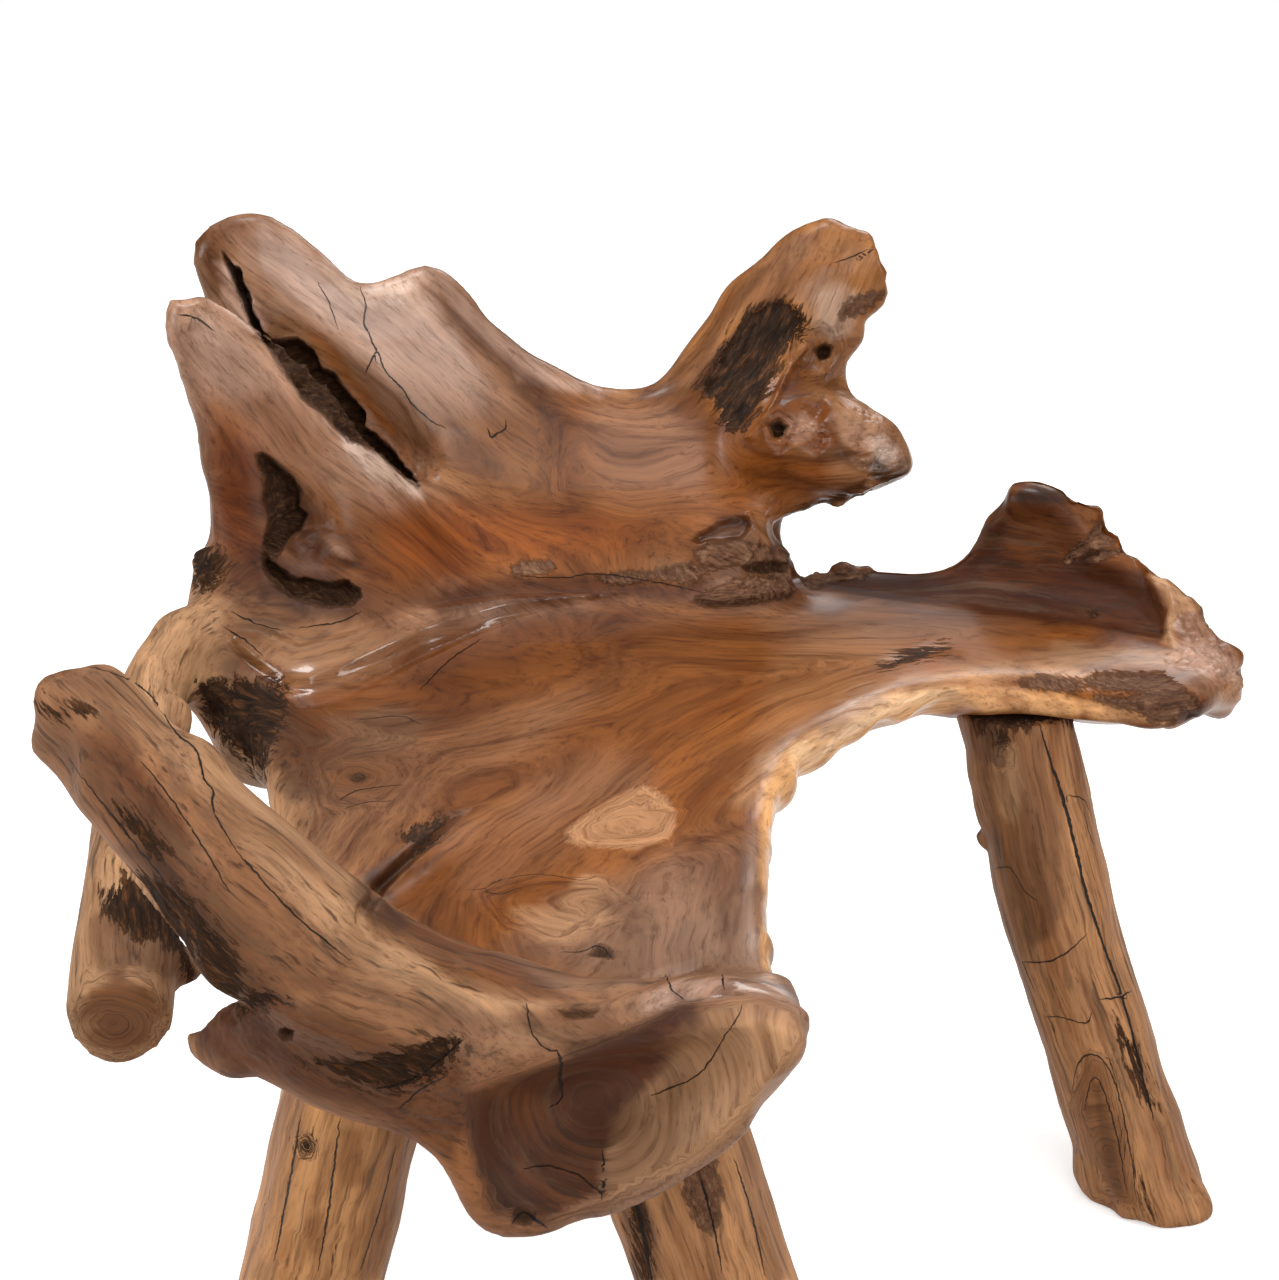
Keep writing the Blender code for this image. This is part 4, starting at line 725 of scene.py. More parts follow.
carving = {"fineRough": 2, "finePush": 5, "wideSlope": 20,         # marks that get a finer skin
           "fineBorder": -9, "fineStep": 3, "crackBorder": 2,      # pixels round them
           "fineSeen": 0.05, "fineSlack": 0.02, "lip": -8,
           "deepPush": -9, "farMm": 30.0,                          # from here a hollow goes in along the sight
           "waver": 2.5, "waverSize": 0.012, "waverSlope": 12,     # pixels that a rough mark's edge wavers by
           "swell": 0.0010, "swellSize": 0.06, "least": 0.0002,
           "flake": (0.8, 0.8, 1.9), "flakeSize": 0.022, "grit": 0.006,      # rotten wood splits into level flakes,
           "strand": (0.2, 1.0, 1.0), "strandSize": 0.007}                   # bark along its fibres


def moveOutline(points, moves, px, py, depth, seen):
    shift = np.zeros_like(points)
    for x, y, moveX, moveY, reach in moves:
        away = np.linalg.norm(points - points[nearestSeen(px, py, seen, x, y)], axis=1) / (reach / 1000)
        weight = np.where(away < 1, (1 - away ** 2) ** 2, 0) * depth / photoView["focalPx"]
        shift += weight[:, None] * (moveX * sideWay - moveY * upWay)
    return points + shift


# Moves, refines and pushes the skin; returns how much of it is seen, and how many mm a point is inside each kind
def sculptPiece(piece, marks, moves, rounds, lines, cracks=()):
    mesh = piece.data
    marks = [(*mark[:4], pairs(mark[4:])) for mark in marks]
    points = readPoints(mesh)
    px, py, depth = photoPlaces(points)
    tree = treeOf(mesh, points)
    seen = seenShare(tree, points)
    writePoints(mesh, moveOutline(points, moves, px, py, depth, seen))
    for fineRound in range(rounds):
        points = readPoints(mesh)
        px, py, depth = photoPlaces(points)
        again = fineRound > 0     # the skin has moved off the tree's
        seen = spreadShare(mesh, seenShare(tree, points, carving["fineSlack"]) if again else seen, 2 if again else 4)
        border = np.full(len(points), -farPixels)
        for kind, height, slope, rough, outline in marks:
            if slope < carving["wideSlope"] and (rough >= carving["fineRough"] or abs(height) >= carving["finePush"]):
                border = np.maximum(border, insideOf(px, py, outline))
        if not again:
            border = np.maximum(border, crackGap(px, py, cracks) - carving["crackBorder"])
        close = border > carving["fineBorder"] + carving["fineStep"] * fineRound
        refine(mesh, close & (seen > carving["fineSeen"]))
    points = readPoints(mesh)
    px, py, depth = photoPlaces(points)
    tree = treeOf(mesh, points)
    seen = spreadShare(mesh, seenShare(tree, points), 3)
    normals = readPoints(mesh, "normal")
    print(piece.name, len(points), "points")
    wobble = noiseAt(points, carving["waverSize"], 1.0)
    perPixel = depth / photoView["focalPx"] * 1000
    push, ragged, sunk = np.zeros((3, len(points)))
    kinds = {kind: np.full(len(points), -carving["farMm"]) for kind in ("bark", "ash", "pale", "hole")}
    for kind, height, slope, rough, outline in marks:
        border = insideOf(px, py, outline)
        wave = carving["waver"] * wobble if rough and slope < carving["waverSlope"] else 0
        shown = seen
        if kind == "cleft":       # a thin edge goes in with its far side, and the wall behind it is of the hollow too
            shown = seen.copy()
            for index in np.flatnonzero(border > carving["lip"]):
                shown[index] = 1.0 if skinsBefore(tree, points[index]) <= 2 else 0.0
        share = smoothStep(0, slope, border + wave) * height / 1000 * shown
        if height < carving["deepPush"]:
            sunk += share
        else:
            push += share
        ragged = np.maximum(ragged, smoothStep(-2, slope + 2, border + wave) * rough / 1000 * seen)
        if kind:
            painted = "hole" if kind == "cleft" else kind
            kinds[painted] = np.maximum(kinds[painted], border * perPixel - (1 - shown) * hiddenPixels)
    push += carving["swell"] * noiseAt(points, carving["swellSize"], 3.0, 2)
    points += normals * push[:, None] - sunk[:, None] * viewWay
    moved = np.clip((np.abs(push) + np.abs(sunk)) * 400, 0, 1)[:, None]
    evened = np.stack([spreadShare(mesh, points[:, axis], 4) for axis in range(3)], -1)
    points += (evened - points) * moved
    writePoints(mesh, points)
    normals = readPoints(mesh, "normal")
    rough = ragged > carving["least"]
    level = points[rough] * np.array(carving["flake"])
    strands = grainOf(points[rough], lines)[0] * np.array(carving["strand"])
    barky = smoothStep(-6, 2, kinds["bark"][rough])
    flakes = 0.75 * noiseAt(level, carving["flakeSize"], 2.0, 4) + 0.25 * noiseAt(level, carving["grit"], 4.0, 2)
    crumbs = np.zeros(len(points))
    crumbs[rough] = (1 - barky) * flakes
    crumbs[rough] += barky * noiseAt(strands, carving["strandSize"], 2.0, 3) - 0.1
    writePoints(mesh, points + normals * (ragged * crumbs)[:, None])
    farMm = carving["farMm"]
    return seen, {kind: np.clip(reach, -farMm, farMm) for kind, reach in kinds.items()}


# In mm: where no crack is near, and the strip that a crack's own width holds in. The reach is in metres, and
# endWidth is the share of the width at a crack's ends
crackLook = {"farSide": 50.0, "farWide": -5.0, "strip": 3, "reach": 0.02, "endWidth": 0.25, "taper": 5}


def findCracks(points, normals, tree, cracks):       # signed distance to the nearest crack and its half width, in mm
    side = np.full(len(points), crackLook["farSide"])
    wide = np.full(len(points), crackLook["farWide"])
    nearest = np.full(len(points), np.inf)
    for halfWidth, *numbers in cracks:
        hits = [tree.ray_cast(Vector(eye), lookThrough(px, py))[0] for px, py in smoothRoute(pairs(numbers), 4)]
        spots = [np.array(hit) for hit in hits if hit is not None]
        for index, (start, end) in enumerate(zip(spots, spots[1:])):
            run = end - start
            length = max(np.linalg.norm(run), 1e-6)
            away = points - start
            near = np.abs(away).max(axis=1) < length + crackLook["reach"]
            away = away[near]
            along = np.clip(away @ run / length ** 2, 0, 1)
            offset = away - along[:, None] * run
            gap = np.linalg.norm(offset, axis=1)
            nearer = gap < nearest[near]
            signed = np.einsum("ij,ij->i", offset, np.cross(normals[near], run / length))
            share = (index + along) / max(len(spots) - 1, 1)
            taper = np.clip(np.minimum(share, 1 - share) * crackLook["taper"], 0.0, 1)
            width = halfWidth * (crackLook["endWidth"] + (1 - crackLook["endWidth"]) * taper)
            place = np.flatnonzero(near)[nearer]
            side[place] = (np.where(signed < 0, -1, 1) * gap * 1000)[nearer]
            wide[place] = (width - np.maximum(gap * 1000 - crackLook["strip"], 0))[nearer]
            nearest[place] = gap[nearer]
    return side, wide


def paintPiece(piece, seen, kinds, tone, grain, tones, cracks, dull, sheens, rings):
    mesh = piece.data
    points = readPoints(mesh)
    normals = readPoints(mesh, "normal")
    px, py, depth = photoPlaces(points)
    wobble = noiseAt(points, 0.03, 6.0)
    facing = smoothStep(-0.1, 0.15, normals @ -viewWay) * seen
    for name, soft, strength, *numbers in tones:
        border = insideOf(px, py, pairs(numbers)) + wobble * min(soft, 14) * 0.5
        share = smoothStep(-soft / 2, soft / 2, border) * strength * facing
        tone += share[:, None] * (np.array(linear(palette[name])) - tone)
    for level, soft, *numbers in sheens:
        share = smoothStep(-soft / 2, soft / 2, insideOf(px, py, pairs(numbers))) * facing
        dull = dull + share * (level - dull)
    for x, y, squeeze, soft, *numbers in rings:
        share = (smoothStep(0, soft, insideOf(px, py, pairs(numbers))) * facing)[:, None]
        away = points - points[nearestSeen(px, py, seen, x, y)]
        ringed = np.stack([away @ upWay, np.linalg.norm(away, axis=1) * squeeze, np.zeros(len(points))], -1)
        grain = grain + share * (ringed - grain)
    side, wide = findCracks(points, normals, treeOf(mesh, points), cracks)
    reaches = {kind + "Reach": reach for kind, reach in kinds.items()}
    for name, values in {"grain": grain, "tone": np.concatenate([tone, np.ones((len(points), 1))], 1), **reaches,
                         "crackSide": side, "crackWide": wide, "dull": dull}.items():
        addValues(mesh, name, values)


def buildRoot():
    piece = copyNode("root_body", "carvedRoot")
    evenSkin(piece, rootLook["skinStep"], rootLook["softenRounds"])
    lines = {name: smoothRoute(places) + drawingShift for name, places in pithLines.items()}
    seen, kinds = sculptPiece(piece, rootMarks, rootMoves, rootLook["fineRounds"], lines, rootCracks)
    px, py, depth = photoPlaces(readPoints(piece.data))
    free = np.where((crackGap(px, py, rootCracks) > carving["lip"]) & (seen > 0.5), 0.0, 1.0)
    kinds = thinOut(piece, rootLook["mostTriangles"], {"seen": seen, **kinds}, free)
    seen = kinds.pop("seen")
    points = readPoints(piece.data)
    grain, shares = grainOf(points, lines)
    tone = sum(share[:, None] * np.array(linear(palette[pithTones[name]])) for name, share in shares.items())
    tone = tone * (1 + rootLook["toneSwing"] * noiseAt(points, rootLook["tonePatch"], 5.0))[:, None]
    arms = rootLook["dullArms"] * (shares["frontArm"] + shares["rearArm"])
    dull = np.clip(rootLook["dullSeat"] + arms + rootLook["dullEnd"] * shares["nearEnd"], 0, 1)
    paintPiece(piece, seen, kinds, tone, grain, rootTones, rootCracks, dull, rootSheen, rootRings)
    return piece


rootPiece = buildRoot()
print("root built", len(rootPiece.data.polygons), "faces")


def nodeAdder(tree):              # the one way that nodes are added, with settings and links
    def add(kind, inputs=None, stops=(), **settings):            # an input may be a node, meaning its first output
        node = tree.nodes.new("ShaderNode" + kind)
        for name, value in settings.items():
            setattr(node, name, value)
        for socket, value in (inputs or {}).items():
            if isinstance(value, bpy.types.Node):
                value = value.outputs[0]
            if isinstance(value, bpy.types.NodeSocket):
                tree.links.new(value, node.inputs[socket])
            else:
                node.inputs[socket].default_value = value
        for index, (place, colour) in enumerate(stops):
            element = node.color_ramp.elements[index] if index < 2 else node.color_ramp.elements.new(place)
            element.position = place
            element.color = (*colour, 1)
        return node
    return add


# what both woods share; each noise: (repeats a metre along the fibre, repeats a metre across it, detail, roughness)
# so pores are 1.6 mm wide, drawn coarse so that they show, splits 5, grey streaks 13, stains 17, bark 5, crumbs 4
woodLook = {
    "specular": 0.2, "coatRoughness": 0.1,
    "noises": {"pore": (90.0, 620.0, 1.0, 0.5), "split": (8.0, 210.0, 2.0, 0.6), "weather": (4.0, 75.0, 6.0, 0.75),
               "stain": (7.0, 60.0, 5.0, 0.7), "bark": (32.0, 190.0, 5.0, 0.7), "crumb": (110.0, 260.0, 6.0, 0.7)},
    "fibre": [(0.30, (0.50, 0.40, 0.32)), (0.47, (0.97, 0.96, 0.95)), (0.74, (1.26, 1.23, 1.19))],
    "drift": [(0.32, (0.60, 0.49, 0.40)), (0.50, (1.0, 0.98, 0.96)), (0.68, (1.26, 1.23, 1.18))],
    "band": [(0.30, (0.60, 0.50, 0.42)), (0.46, (0.96, 0.94, 0.92)), (0.70, (1.14, 1.10, 1.06))],
    "bark": [(0.36, "#170d07"), (0.54, "#35200f"), (0.70, "#6a4226")],
    "ash": [(0.34, "#472c1c"), (0.48, "#6a4834"), (0.62, "#836047"), (0.76, "#a07d62")],
    # dark old wood in the holes, darkened further as painted shade of the hollows
    "hole": [(0.34, "#211208"), (0.52, "#472c19"), (0.70, "#725337")],
    # a mark's edge: (noise that it wavers with, by how many mm, mm where it starts, mm where it is whole, strength)
    "edges": {"pale": ("fibre", 6.0, -1.5, 3.0, 0.85), "bark": ("bark", 52.0, -1.5, 2.0, 1.0),
              "ash": ("crumb", 16.0, -1.5, 2.0, 1.0), "hole": ("crumb", 7.0, -1.0, 3.0, 1.0)},
    # (noise, where it starts, where it is whole, strength, tone): short dark pores everywhere, and long splits
    # between the fibres and grey-brown streaks where the wood is dull
    "flecks": (("pore", 0.66, 0.74, 0.35, "umber"), ("split", 0.58, 0.68, 0.75, "umber"),
               ("weather", 0.50, 0.64, 0.5, "weather")),
    "crackJitterMm": 3.6, "coarseDull": 0.35,
}
# Oiled teak, planed and burnished with oil: soft growth bands, fibres drawn 2 mm wide so that they show, satin sheen
teakLook = {**woodLook, "bandMm": 9, "fibreMm": 1.9, "driftMm": 38, "warpMm": 16, "warpSizeMm": 260, "polish": 0.18,
            "dull": 0.64, "bandShare": 0.75, "fibreShare": 0.95, "driftShare": 0.85, "stainEdge": 0.80, "coat": 0.5}
# Logs sanded by hand: straight fibres, dark stain streaks left from the bark, no sheen
logLook = {**woodLook, "bandMm": 12, "fibreMm": 2.2, "driftMm": 15, "warpMm": 6, "warpSizeMm": 120, "polish": 0.55,
           "dull": 0.55, "bandShare": 0.3, "fibreShare": 1.0, "driftShare": 1.0, "stainEdge": 0.62, "coat": 0.0}


def newMaterial(name):
    material = bpy.data.materials.new(name)
    material.use_nodes = True
    return material, material.node_tree.nodes["Principled BSDF"], nodeAdder(material.node_tree)


def makeTeak(name, look):
    material, shader, add = newMaterial(name)
    link = material.node_tree.links.new
    shader.inputs["Specular IOR Level"].default_value = look["specular"]
    shader.inputs["Coat Roughness"].default_value = look["coatRoughness"]
    place = add("TexCoord").outputs["Object"]
    given = {name: add("Attribute", attribute_name=name).outputs for name in
             ("grain", "tone", "barkReach", "ashReach", "paleReach", "holeReach", "dull", "crackSide", "crackWide")}
    # the fibres swerve a little: a slow noise pushes the grain's two cross ways about
    swerve = add("TexNoise", {"Vector": place, "Scale": 1000 / look["warpSizeMm"], "Detail": 3.0, "Roughness": 0.45})
    centred = add("VectorMath", {0: swerve.outputs["Color"], 1: (0.5, 0.5, 0.5)}, operation="SUBTRACT")
    warp = look["warpMm"] / 1000 * 4
    scaled = add("VectorMath", {0: centred, 1: (0.0, warp, warp)}, operation="MULTIPLY")
    bent = add("VectorMath", {0: given["grain"]["Vector"], 1: scaled}, operation="ADD")
    noises = {}
    lines = {"fibre": (14.0, 1000 / look["fibreMm"] / 2, 4.0, 0.7), "drift": (6.0, 1000 / look["driftMm"], 4.0, 0.55)}
    for kind, (lengthwise, crosswise, detail, rough) in {**lines, **look["noises"]}.items():
        drawn = add("VectorMath", {0: bent, 1: (lengthwise, crosswise, crosswise)}, operation="MULTIPLY")
        noises[kind] = add("TexNoise", {"Vector": drawn, "Scale": 1.0, "Detail": detail, "Roughness": rough})
    # growth bands lie round the pith, by the distance from it
    radial = add("VectorMath", {0: bent, 1: (0.0, 1.0, 1.0)}, operation="MULTIPLY")
    radius = add("VectorMath", {0: radial}, operation="LENGTH").outputs["Value"]
    bandPlace = add("CombineXYZ", {
        0: add("Math", {0: radius, 1: 1000 / look["bandMm"]}, operation="MULTIPLY"),
        1: add("Math", {0: add("SeparateXYZ", {0: bent}), 1: 5.0}, operation="MULTIPLY")})
    noises["band"] = add("TexNoise", {"Vector": bandPlace, "Scale": 1.0, "Detail": 3.0, "Roughness": 0.55},
                         noise_dimensions="2D")
    shades = {}
    for kind, wave in (("drift", "drift"), ("band", "band"), ("fibre", "fibre"), ("bark", "bark"), ("ash", "crumb"),
                       ("hole", "crumb")):
        stops = [(spot, linear(tint) if isinstance(tint, str) else tint) for spot, tint in look[kind]]
        shades[kind] = add("ValToRGB", {0: noises[wave]}, stops)
    # the marks: crisp at the photograph's outline, wavering with the fibres or crumbs
    share = {}
    for kind, (wave, swing, low, high, most) in look["edges"].items():
        waver = add("Math", {0: noises[wave], 1: swing, 2: -swing / 2}, operation="MULTIPLY_ADD")
        reach = add("Math", {0: given[kind + "Reach"]["Fac"], 1: waver}, operation="ADD")
        share[kind] = add("MapRange", {"Value": reach, "From Min": low, "From Max": high, "To Max": most})
    # dark stain streaks look as the bark does
    stained = add("MapRange", {"Value": noises["stain"], "From Min": look["stainEdge"],
                               "From Max": look["stainEdge"] + 0.06})
    share["bark"] = add("Math", {0: share["bark"], 1: stained}, operation="MAXIMUM")
    clean = add("Math", {0: 1.0, 1: share["bark"]}, operation="SUBTRACT")
    ashShare = add("Math", {0: share["ash"], 1: clean}, operation="MULTIPLY")
    ashShade = add("Mix", {0: 0.8, 6: shades["ash"], 7: shades["drift"]}, data_type="RGBA", blend_type="MULTIPLY")
    # cracks: dark where the distance to one is under its half width, jittered so that they run unevenly
    jitter = add("TexNoise", {"Vector": place, "Scale": 140.0, "Detail": 3.0})
    swing = look["crackJitterMm"]
    jitterMm = add("Math", {0: jitter, 1: swing, 2: -swing / 2}, operation="MULTIPLY_ADD")
    jittered = add("Math", {0: given["crackSide"]["Fac"], 1: jitterMm}, operation="ADD")
    apart = add("Math", {0: jittered}, operation="ABSOLUTE")
    depth = add("Math", {0: given["crackWide"]["Fac"], 1: apart}, operation="SUBTRACT")
    crackLine = add("MapRange", {"Value": depth, "From Min": -0.35, "From Max": 0.25})
    # the colour, layer over layer
    layers = [(look[kind + "Share"], shades[kind], "MULTIPLY") for kind in ("drift", "band", "fibre")]
    weathered = add("MapRange", {"Value": given["dull"]["Fac"], "From Min": 0.62, "From Max": 0.85})
    for kind, low, high, most, tint in look["flecks"]:
        fleck = add("MapRange", {"Value": noises[kind], "From Min": low, "From Max": high, "To Max": most})
        if kind != "pore":
            fleck = add("Math", {0: fleck, 1: weathered}, operation="MULTIPLY")
        layers.append((fleck, (*linear(palette[tint]), 1), "MIX"))
    layers += [(share["bark"], shades["bark"], "MIX"), (ashShare, ashShade.outputs[2], "MIX"),
               (share["hole"], shades["hole"], "MIX"), (crackLine, (*linear(palette["crack"]), 1), "MIX")]
    colour = add("Mix", {0: share["pale"], 6: given["tone"]["Color"], 7: (*linear(palette["figure"]), 1)},
                 data_type="RGBA").outputs[2]
    for much, shade, blend in layers:
        colour = add("Mix", {0: much, 6: colour, 7: shade}, data_type="RGBA", blend_type=blend).outputs[2]
    link(colour, shader.inputs["Base Color"])
    # rotten wood and bark are matt, the rest is as dull as its place says; the coat is only where it is polished
    ashHole = add("Math", {0: share["ash"], 1: share["hole"]}, operation="MAXIMUM")
    coarse = add("Math", {0: share["bark"], 1: ashHole}, operation="MAXIMUM")
    plain = add("MapRange", {"Value": given["dull"]["Fac"], "To Min": look["polish"], "To Max": look["dull"]})
    roughness = add("Math", {0: coarse, 1: look["coarseDull"], 2: plain}, operation="MULTIPLY_ADD")
    link(roughness.outputs[0], shader.inputs["Roughness"])
    matt = add("Math", {0: given["dull"]["Fac"], 1: coarse}, operation="ADD")
    coat = add("MapRange", {"Value": matt, "From Max": 0.35, "To Min": look["coat"], "To Max": 0.0})
    link(coat.outputs[0], shader.inputs["Coat Weight"])
    barkHeight = add("Math", {0: noises["bark"], 1: share["bark"]}, operation="MULTIPLY")
    ashHeight = add("Math", {0: noises["crumb"], 1: ashHole}, operation="MULTIPLY")
    relief = add("Bump", {"Height": noises["fibre"], "Strength": 0.3, "Distance": 0.0006})
    for height, distance, sunk in ((barkHeight, 0.003, False), (ashHeight, 0.005, False), (crackLine, 0.002, True)):
        relief = add("Bump", {"Height": height, "Normal": relief, "Strength": 0.8, "Distance": distance}, invert=sunk)
    link(relief.outputs[0], shader.inputs["Normal"])
    return material


def dress(piece, material, node):
    piece.data.materials.clear()
    piece.data.materials.append(material)
    piece.data.shade_smooth()
    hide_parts(node)
    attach(piece, "root")


oiledTeak = makeTeak("oiledTeakRoot", teakLook)
sandedLog = makeTeak("sandedTeakLog", logLook)
dress(rootPiece, oiledTeak, "root_body")
print("root dressed")


# The legs' rows are of the same kinds as the root's
legLook = {"skinStep": 0.0032, "softenRounds": 3, "lumpMm": 3.0, "lumpSize": 0.10, "ridgeMm": 1.3, "ridgeSize": 0.011,
           "ridgeDraw": (0.12, 1.0, 1.0), "endFade": 1.6, "toneSwing": 0.2, "tonePatch": 0.09, "dull": 0.8}
# the front left leg's tone is lightened as painted light, for the shade that the seat casts on it
legTones = {"right": "sienna", "front_left": "strawWithPaintedLight", "front_centre": "sienna", "back_left": "fawn"}
legMarks = {
    "right": [
        ("bark", 0, 4, 1.5, 962,704, 1074,712, 1078,724, 1040,722, 1010,730, 1000,722, 985,732, 972,728),
        ("bark", -1, 4, 1.5, 990,728, 1002,725, 1008,738, 1004,748, 996,742),
        ("", 7, 9, 0, 968,832, 984,830, 986,848, 976,856, 968,846),
        ("bark", -1, 4, 1, 1114,1018, 1122,1020, 1136,1050, 1148,1080, 1156,1108, 1147,1106, 1134,1078, 1121,1048)],
    "front_left": [
        ("bark", -1, 4, 1, 300,1138, 312,1140, 314,1152, 304,1156, 298,1148)],
    "front_centre": [
        ("ash", -1, 5, 1, 688,1162, 712,1150, 722,1190, 716,1236, 694,1222, 682,1190),
        ("bark", -2, 4, 1, 628,1190, 640,1188, 650,1240, 652,1279, 640,1279, 632,1230)],
}
legMoves = {
    "right": [
        (978,842, -6,0, 13), (1084,1178, -8,1, 34), (974,780, -4,0, 30), (1140,1215, 0,-9, 26),
        (1195,1205, 14,3, 34), (980,815, -5,0, 26), (1130,940, -3,1, 70), (1165,1060, -4,1, 60),
        (1105,1204, 2,-6, 22)],
}
legCracks = {
    "right": [
        (1.4, 1039,724, 1052,765, 1065,806, 1076,850, 1086,892, 1104,947, 1122,996, 1141,1069, 1153,1118),
        (0.6, 1022,962, 1044,962, 1062,956, 1086,935), (0.7, 1101,999, 1116,998, 1131,991),
        (0.5, 1022,962, 1028,975, 1034,990), (0.5, 1045,1016, 1065,1018, 1086,1023, 1092,1014),
        (0.5, 1072,1092, 1078,1064, 1090,1054, 1106,1064, 1120,1100, 1130,1150, 1137,1200),
        (0.5, 1084,1110, 1092,1080, 1100,1082, 1110,1110, 1120,1150, 1126,1190), (0.5, 1084,810, 1088,830, 1094,846),
        (0.4, 990,870, 1010,868, 1024,890, 1036,900), (0.4, 1070,795, 1084,800, 1090,812),
        (0.4, 1078,730, 1082,760, 1090,790)],
    "front_left": [
        (0.8, 300,1120, 290,1180, 275,1260), (0.6, 340,1120, 330,1200, 318,1270),
        (0.8, 395,1150, 380,1210, 360,1270)],
    "front_centre": [
        (1.6, 634,1195, 644,1235, 652,1279), (0.7, 735,1160, 752,1215, 765,1275),
        (0.6, 700,1175, 712,1220, 722,1270)],
}
legStains = {
    "right": [
        ("walnut", 16, 0.6, 964,706, 1034,712, 1050,770, 1062,850, 1058,930, 1030,950, 1006,880, 984,800),
        ("fawn", 8, 0.7, 992,738, 1014,742, 1020,790, 1014,826, 1000,812, 992,770),
        ("umber", 8, 0.6, 966,708, 1010,712, 1006,724, 1000,760, 990,760, 980,730),
        ("umber", 10, 0.25, 984,820, 1004,850, 1030,920, 1036,960, 1016,930, 996,870),
        ("chestnut", 14, 0.6, 1074,1100, 1088,1056, 1104,1064, 1126,1130, 1138,1205, 1110,1205, 1090,1150),
        ("umber", 8, 0.5, 1092,1086, 1100,1084, 1116,1140, 1126,1200, 1114,1196, 1100,1140),
        ("tan", 30, 0.35, 1050,900, 1100,960, 1140,1060, 1190,1180, 1160,1190, 1110,1060, 1060,980)],
    "front_left": [
        ("chestnut", 12, 0.45, 376,1120, 424,1130, 404,1190, 380,1279, 350,1279, 368,1190),
        ("rust", 10, 0.5, 342,1130, 366,1130, 362,1180, 346,1190, 336,1160),
        ("rust", 10, 0.5, 306,1220, 326,1210, 322,1250, 306,1262),
        ("tan", 16, 0.6, 276,1090, 300,1090, 284,1200, 262,1279, 240,1279, 262,1170)],
    "front_centre": [
        ("walnut", 10, 0.6, 620,1200, 646,1200, 660,1240, 664,1279, 632,1279),
        ("tan", 14, 0.7, 740,1130, 770,1180, 796,1279, 770,1279, 748,1200)],
}
legRings = {
    "right": [
        (1007,754, 3.0, 8, 994,742, 1008,738, 1020,750, 1018,770, 1002,772, 992,758),
        (1108,1150, 0.8, 20, 1066,1110, 1086,1046, 1112,1056, 1136,1130, 1140,1210, 1090,1200)],
    "front_left": [
        (306,1147, 3.0, 8, 292,1140, 306,1132, 320,1144, 314,1162, 298,1160)],
}


def legRoute(points):             # the log's middle line, and a little past both ends
    low, high = points[:, 2].min(), points[:, 2].max()
    route = []
    for share in (0.0, 0.33, 0.67, 1.0):
        level = low + (high - low) * (0.06 + 0.88 * share)
        near = np.abs(points[:, 2] - level) < 0.012
        route.append((points[near].min(axis=0) + points[near].max(axis=0)) / 2)
    return smoothRoute([route[0] * 1.2 - route[1] * 0.2] + route[1:3] + [route[3] * 1.2 - route[2] * 0.2], 4)


def buildLeg(name):
    piece = copyNode("leg_" + name, "log_" + name)
    evenSkin(piece, legLook["skinStep"], legLook["softenRounds"])
    route = legRoute(readPoints(piece.data))
    seen, kinds = sculptPiece(piece, legMarks.get(name, []), legMoves.get(name, []), 0, {"log": route})
    points = readPoints(piece.data)
    normals = readPoints(piece.data, "normal")
    grain = grainOf(points, {"log": route})[0]
    seed = 10.0 + 3 * list(legTones).index(name)
    swell = legLook["lumpMm"] / 1000 * noiseAt(points, legLook["lumpSize"], seed, 2)
    drawn = grain * np.array(legLook["ridgeDraw"])
    ridges = legLook["ridgeMm"] / 1000 * noiseAt(drawn, legLook["ridgeSize"], seed, 3)
    run = route[-1] - route[0]
    sides = np.clip(1 - np.abs(normals @ run / np.linalg.norm(run)) * legLook["endFade"], 0, 1)
    writePoints(piece.data, points + normals * ((swell + ridges) * sides)[:, None])
    tone = np.tile(np.array(linear(palette[legTones[name]])), (len(points), 1))
    tone = tone * (1 + legLook["toneSwing"] * noiseAt(points, legLook["tonePatch"], seed + 1))[:, None]
    paintPiece(piece, seen, kinds, tone, grain, legStains.get(name, []), legCracks.get(name, []),
               np.full(len(points), legLook["dull"]), [], legRings.get(name, []))
    dress(piece, sandedLog, "leg_" + name)


for legName in legTones:
    buildLeg(legName)
print("legs built")

# Pegs and tenons turned from straight-grained, unstained wood: plain even streaks along them, no sheen
pegLook = {"colour": "#7a5234", "grainMm": 3.0, "dark": 0.6, "light": 1.25, "dull": 0.6}


def makePegWood():
    material, shader, add = newMaterial("turnedTeakPeg")
    fine = 500 / pegLook["grainMm"]
    stretched = add("VectorMath", {0: add("TexCoord").outputs["Object"], 1: (fine, fine, 30.0)}, operation="MULTIPLY")
    streaks = add("TexNoise", {"Vector": stretched, "Scale": 1.0, "Detail": 4.0})
    base = np.array(linear(pegLook["colour"]))
    stops = [(0.35, tuple(base * pegLook["dark"])), (0.65, tuple(base * pegLook["light"]))]
    shade = add("ValToRGB", {0: streaks}, stops)
    material.node_tree.links.new(shade.outputs[0], shader.inputs["Base Color"])
    shader.inputs["Roughness"].default_value = pegLook["dull"]
    return material


pegWood = makePegWood()
for nodeName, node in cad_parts.items():
    if nodeName.startswith(("tenon", "peg")):
        for materialSlot in node.material_slots:
            materialSlot.material = pegWood
print("materials made")


studio = {"floorColour": "#f2f1ef", "bounceColour": "#a39d97", "floorSize": 14.0, "floorGlow": 0.5, "floorDull": 0.9,
          "skyFrom": 0.45, "skyTo": 0.95, "skyDim": 0.13, "skyBright": 0.95, "aim": (0, 0, 0.5)}
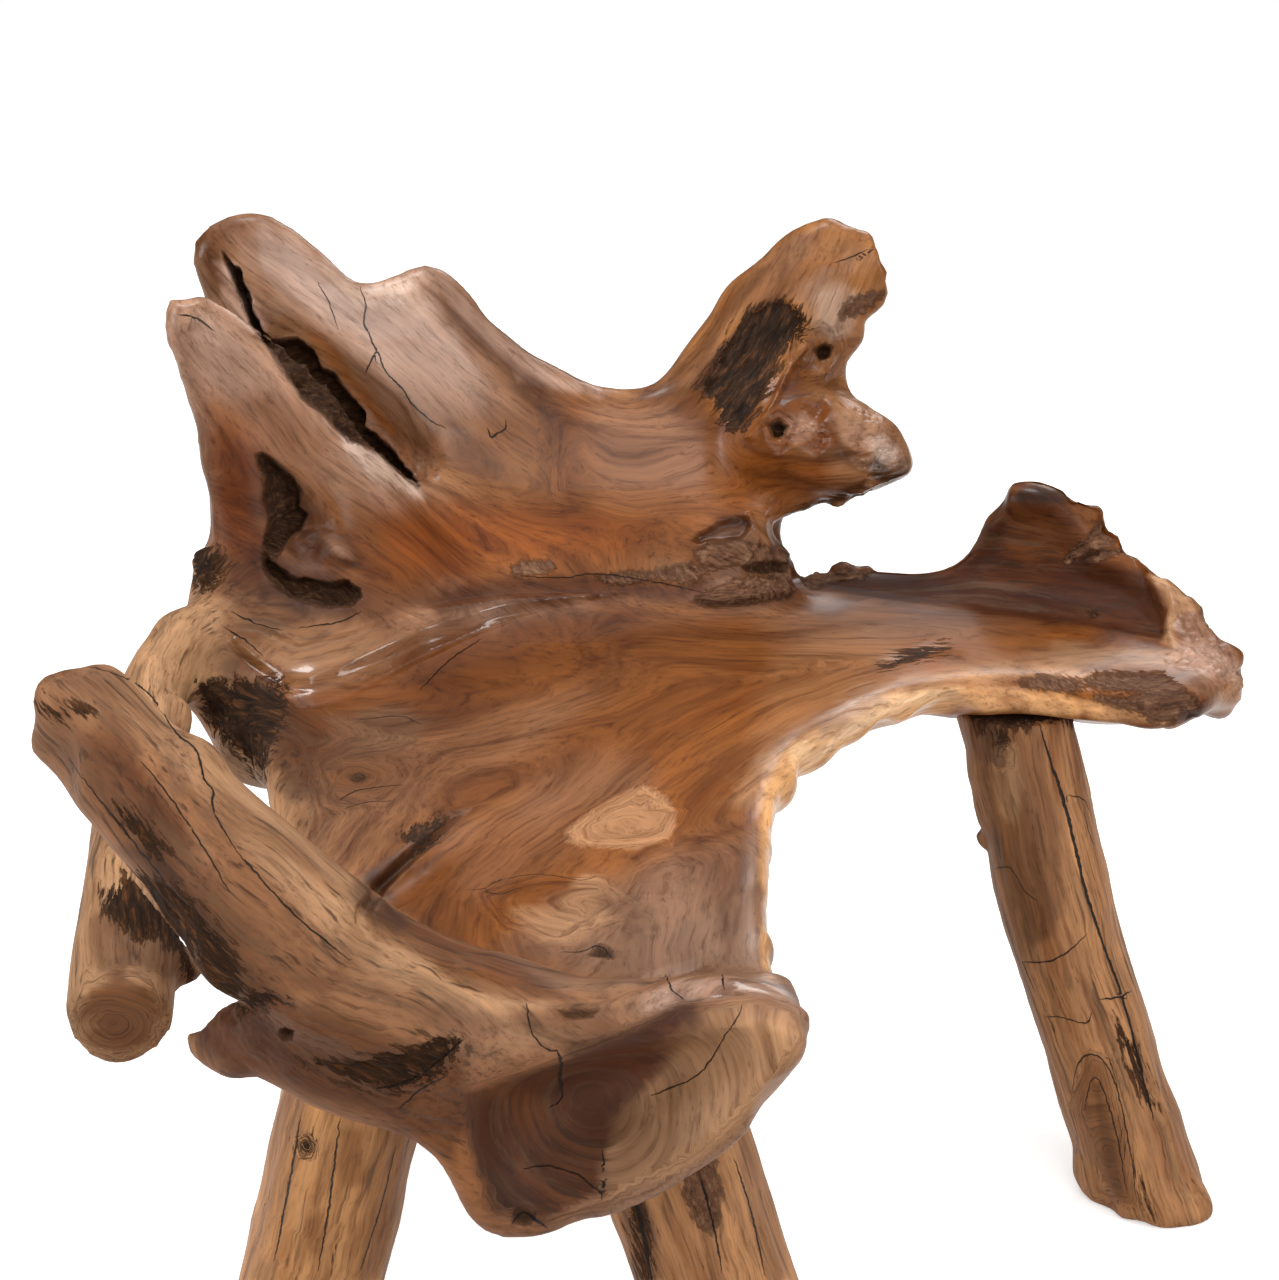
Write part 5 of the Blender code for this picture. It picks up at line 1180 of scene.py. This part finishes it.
# (place, size, watts)
panels = {"keyPanel": ((-0.5, 0.5, 3.6), 0.9, 40), "frontPanel": ((0.7, -2.7, 2.5), 1.6, 30),
          "lowPanel": ((0.3, -3.4, 0.9), 1.6, 19), "leftPanel": ((-2.8, -0.9, 1.6), 1.2, 46),
          "rightPanel": ((2.7, -1.5, 1.5), 1.0, 28), "backPanel": ((0.9, 2.7, 2.3), 1.0, 17)}


def addFloor():                   # matt paper, rolled out: even and without sheen
    shape = bmesh.new()
    bmesh.ops.create_grid(shape, x_segments=1, y_segments=1, size=studio["floorSize"] / 2)
    mesh = bpy.data.meshes.new("studioFloor")
    shape.to_mesh(mesh)
    shape.free()
    floor = bpy.data.objects.new("studioFloor", mesh)
    bpy.context.scene.collection.objects.link(floor)
    material, shader, add = newMaterial("mattPaper")
    link = material.node_tree.links.new
    shader.inputs["Roughness"].default_value = studio["floorDull"]
    shader.inputs["Emission Color"].default_value = (1, 1, 1, 1)
    # camera, gloss and glass see the paper pale and a little bright; soft light bounces off it as in a large room
    path = add("LightPath").outputs
    mirrored = add("Math", {0: path["Is Glossy Ray"], 1: path["Is Transmission Ray"]}, operation="MAXIMUM")
    direct = add("Math", {0: path["Is Camera Ray"], 1: mirrored}, operation="MAXIMUM")
    paper = add("Mix", {0: direct, 6: (*linear(studio["bounceColour"]), 1), 7: (*linear(studio["floorColour"]), 1)},
                data_type="RGBA")
    link(paper.outputs[2], shader.inputs["Base Color"])
    glow = add("Math", {0: direct, 1: studio["floorGlow"]}, operation="MULTIPLY")
    link(glow.outputs[0], shader.inputs["Emission Strength"])
    mesh.materials.append(material)


def addStudio():
    addFloor()
    world = bpy.data.worlds.new("softRoom")
    bpy.context.scene.world = world
    world.use_nodes = True
    add = nodeAdder(world.node_tree)
    background = world.node_tree.nodes["Background"]
    height = add("SeparateXYZ", {0: add("TexCoord").outputs["Generated"]}).outputs[2]
    rise = {"From Min": studio["skyFrom"], "From Max": studio["skyTo"], "To Min": studio["skyDim"],
            "To Max": studio["skyBright"]}
    level = add("MapRange", {"Value": height, **rise}, interpolation_type="SMOOTHSTEP")
    world.node_tree.links.new(level.outputs[0], background.inputs["Strength"])
    background.inputs["Color"].default_value = (1, 1, 1, 1)
    for name, (place, size, watts) in panels.items():
        light = bpy.data.lights.new(name, "AREA")
        light.size = size
        light.energy = watts
        panel = bpy.data.objects.new(name, light)
        bpy.context.scene.collection.objects.link(panel)
        panel.location = place
        panel.rotation_euler = (Vector(studio["aim"]) - Vector(place)).to_track_quat("-Z", "Y").to_euler()
    bpy.context.scene.view_settings.view_transform = "Standard"


addStudio()
print("studio set")
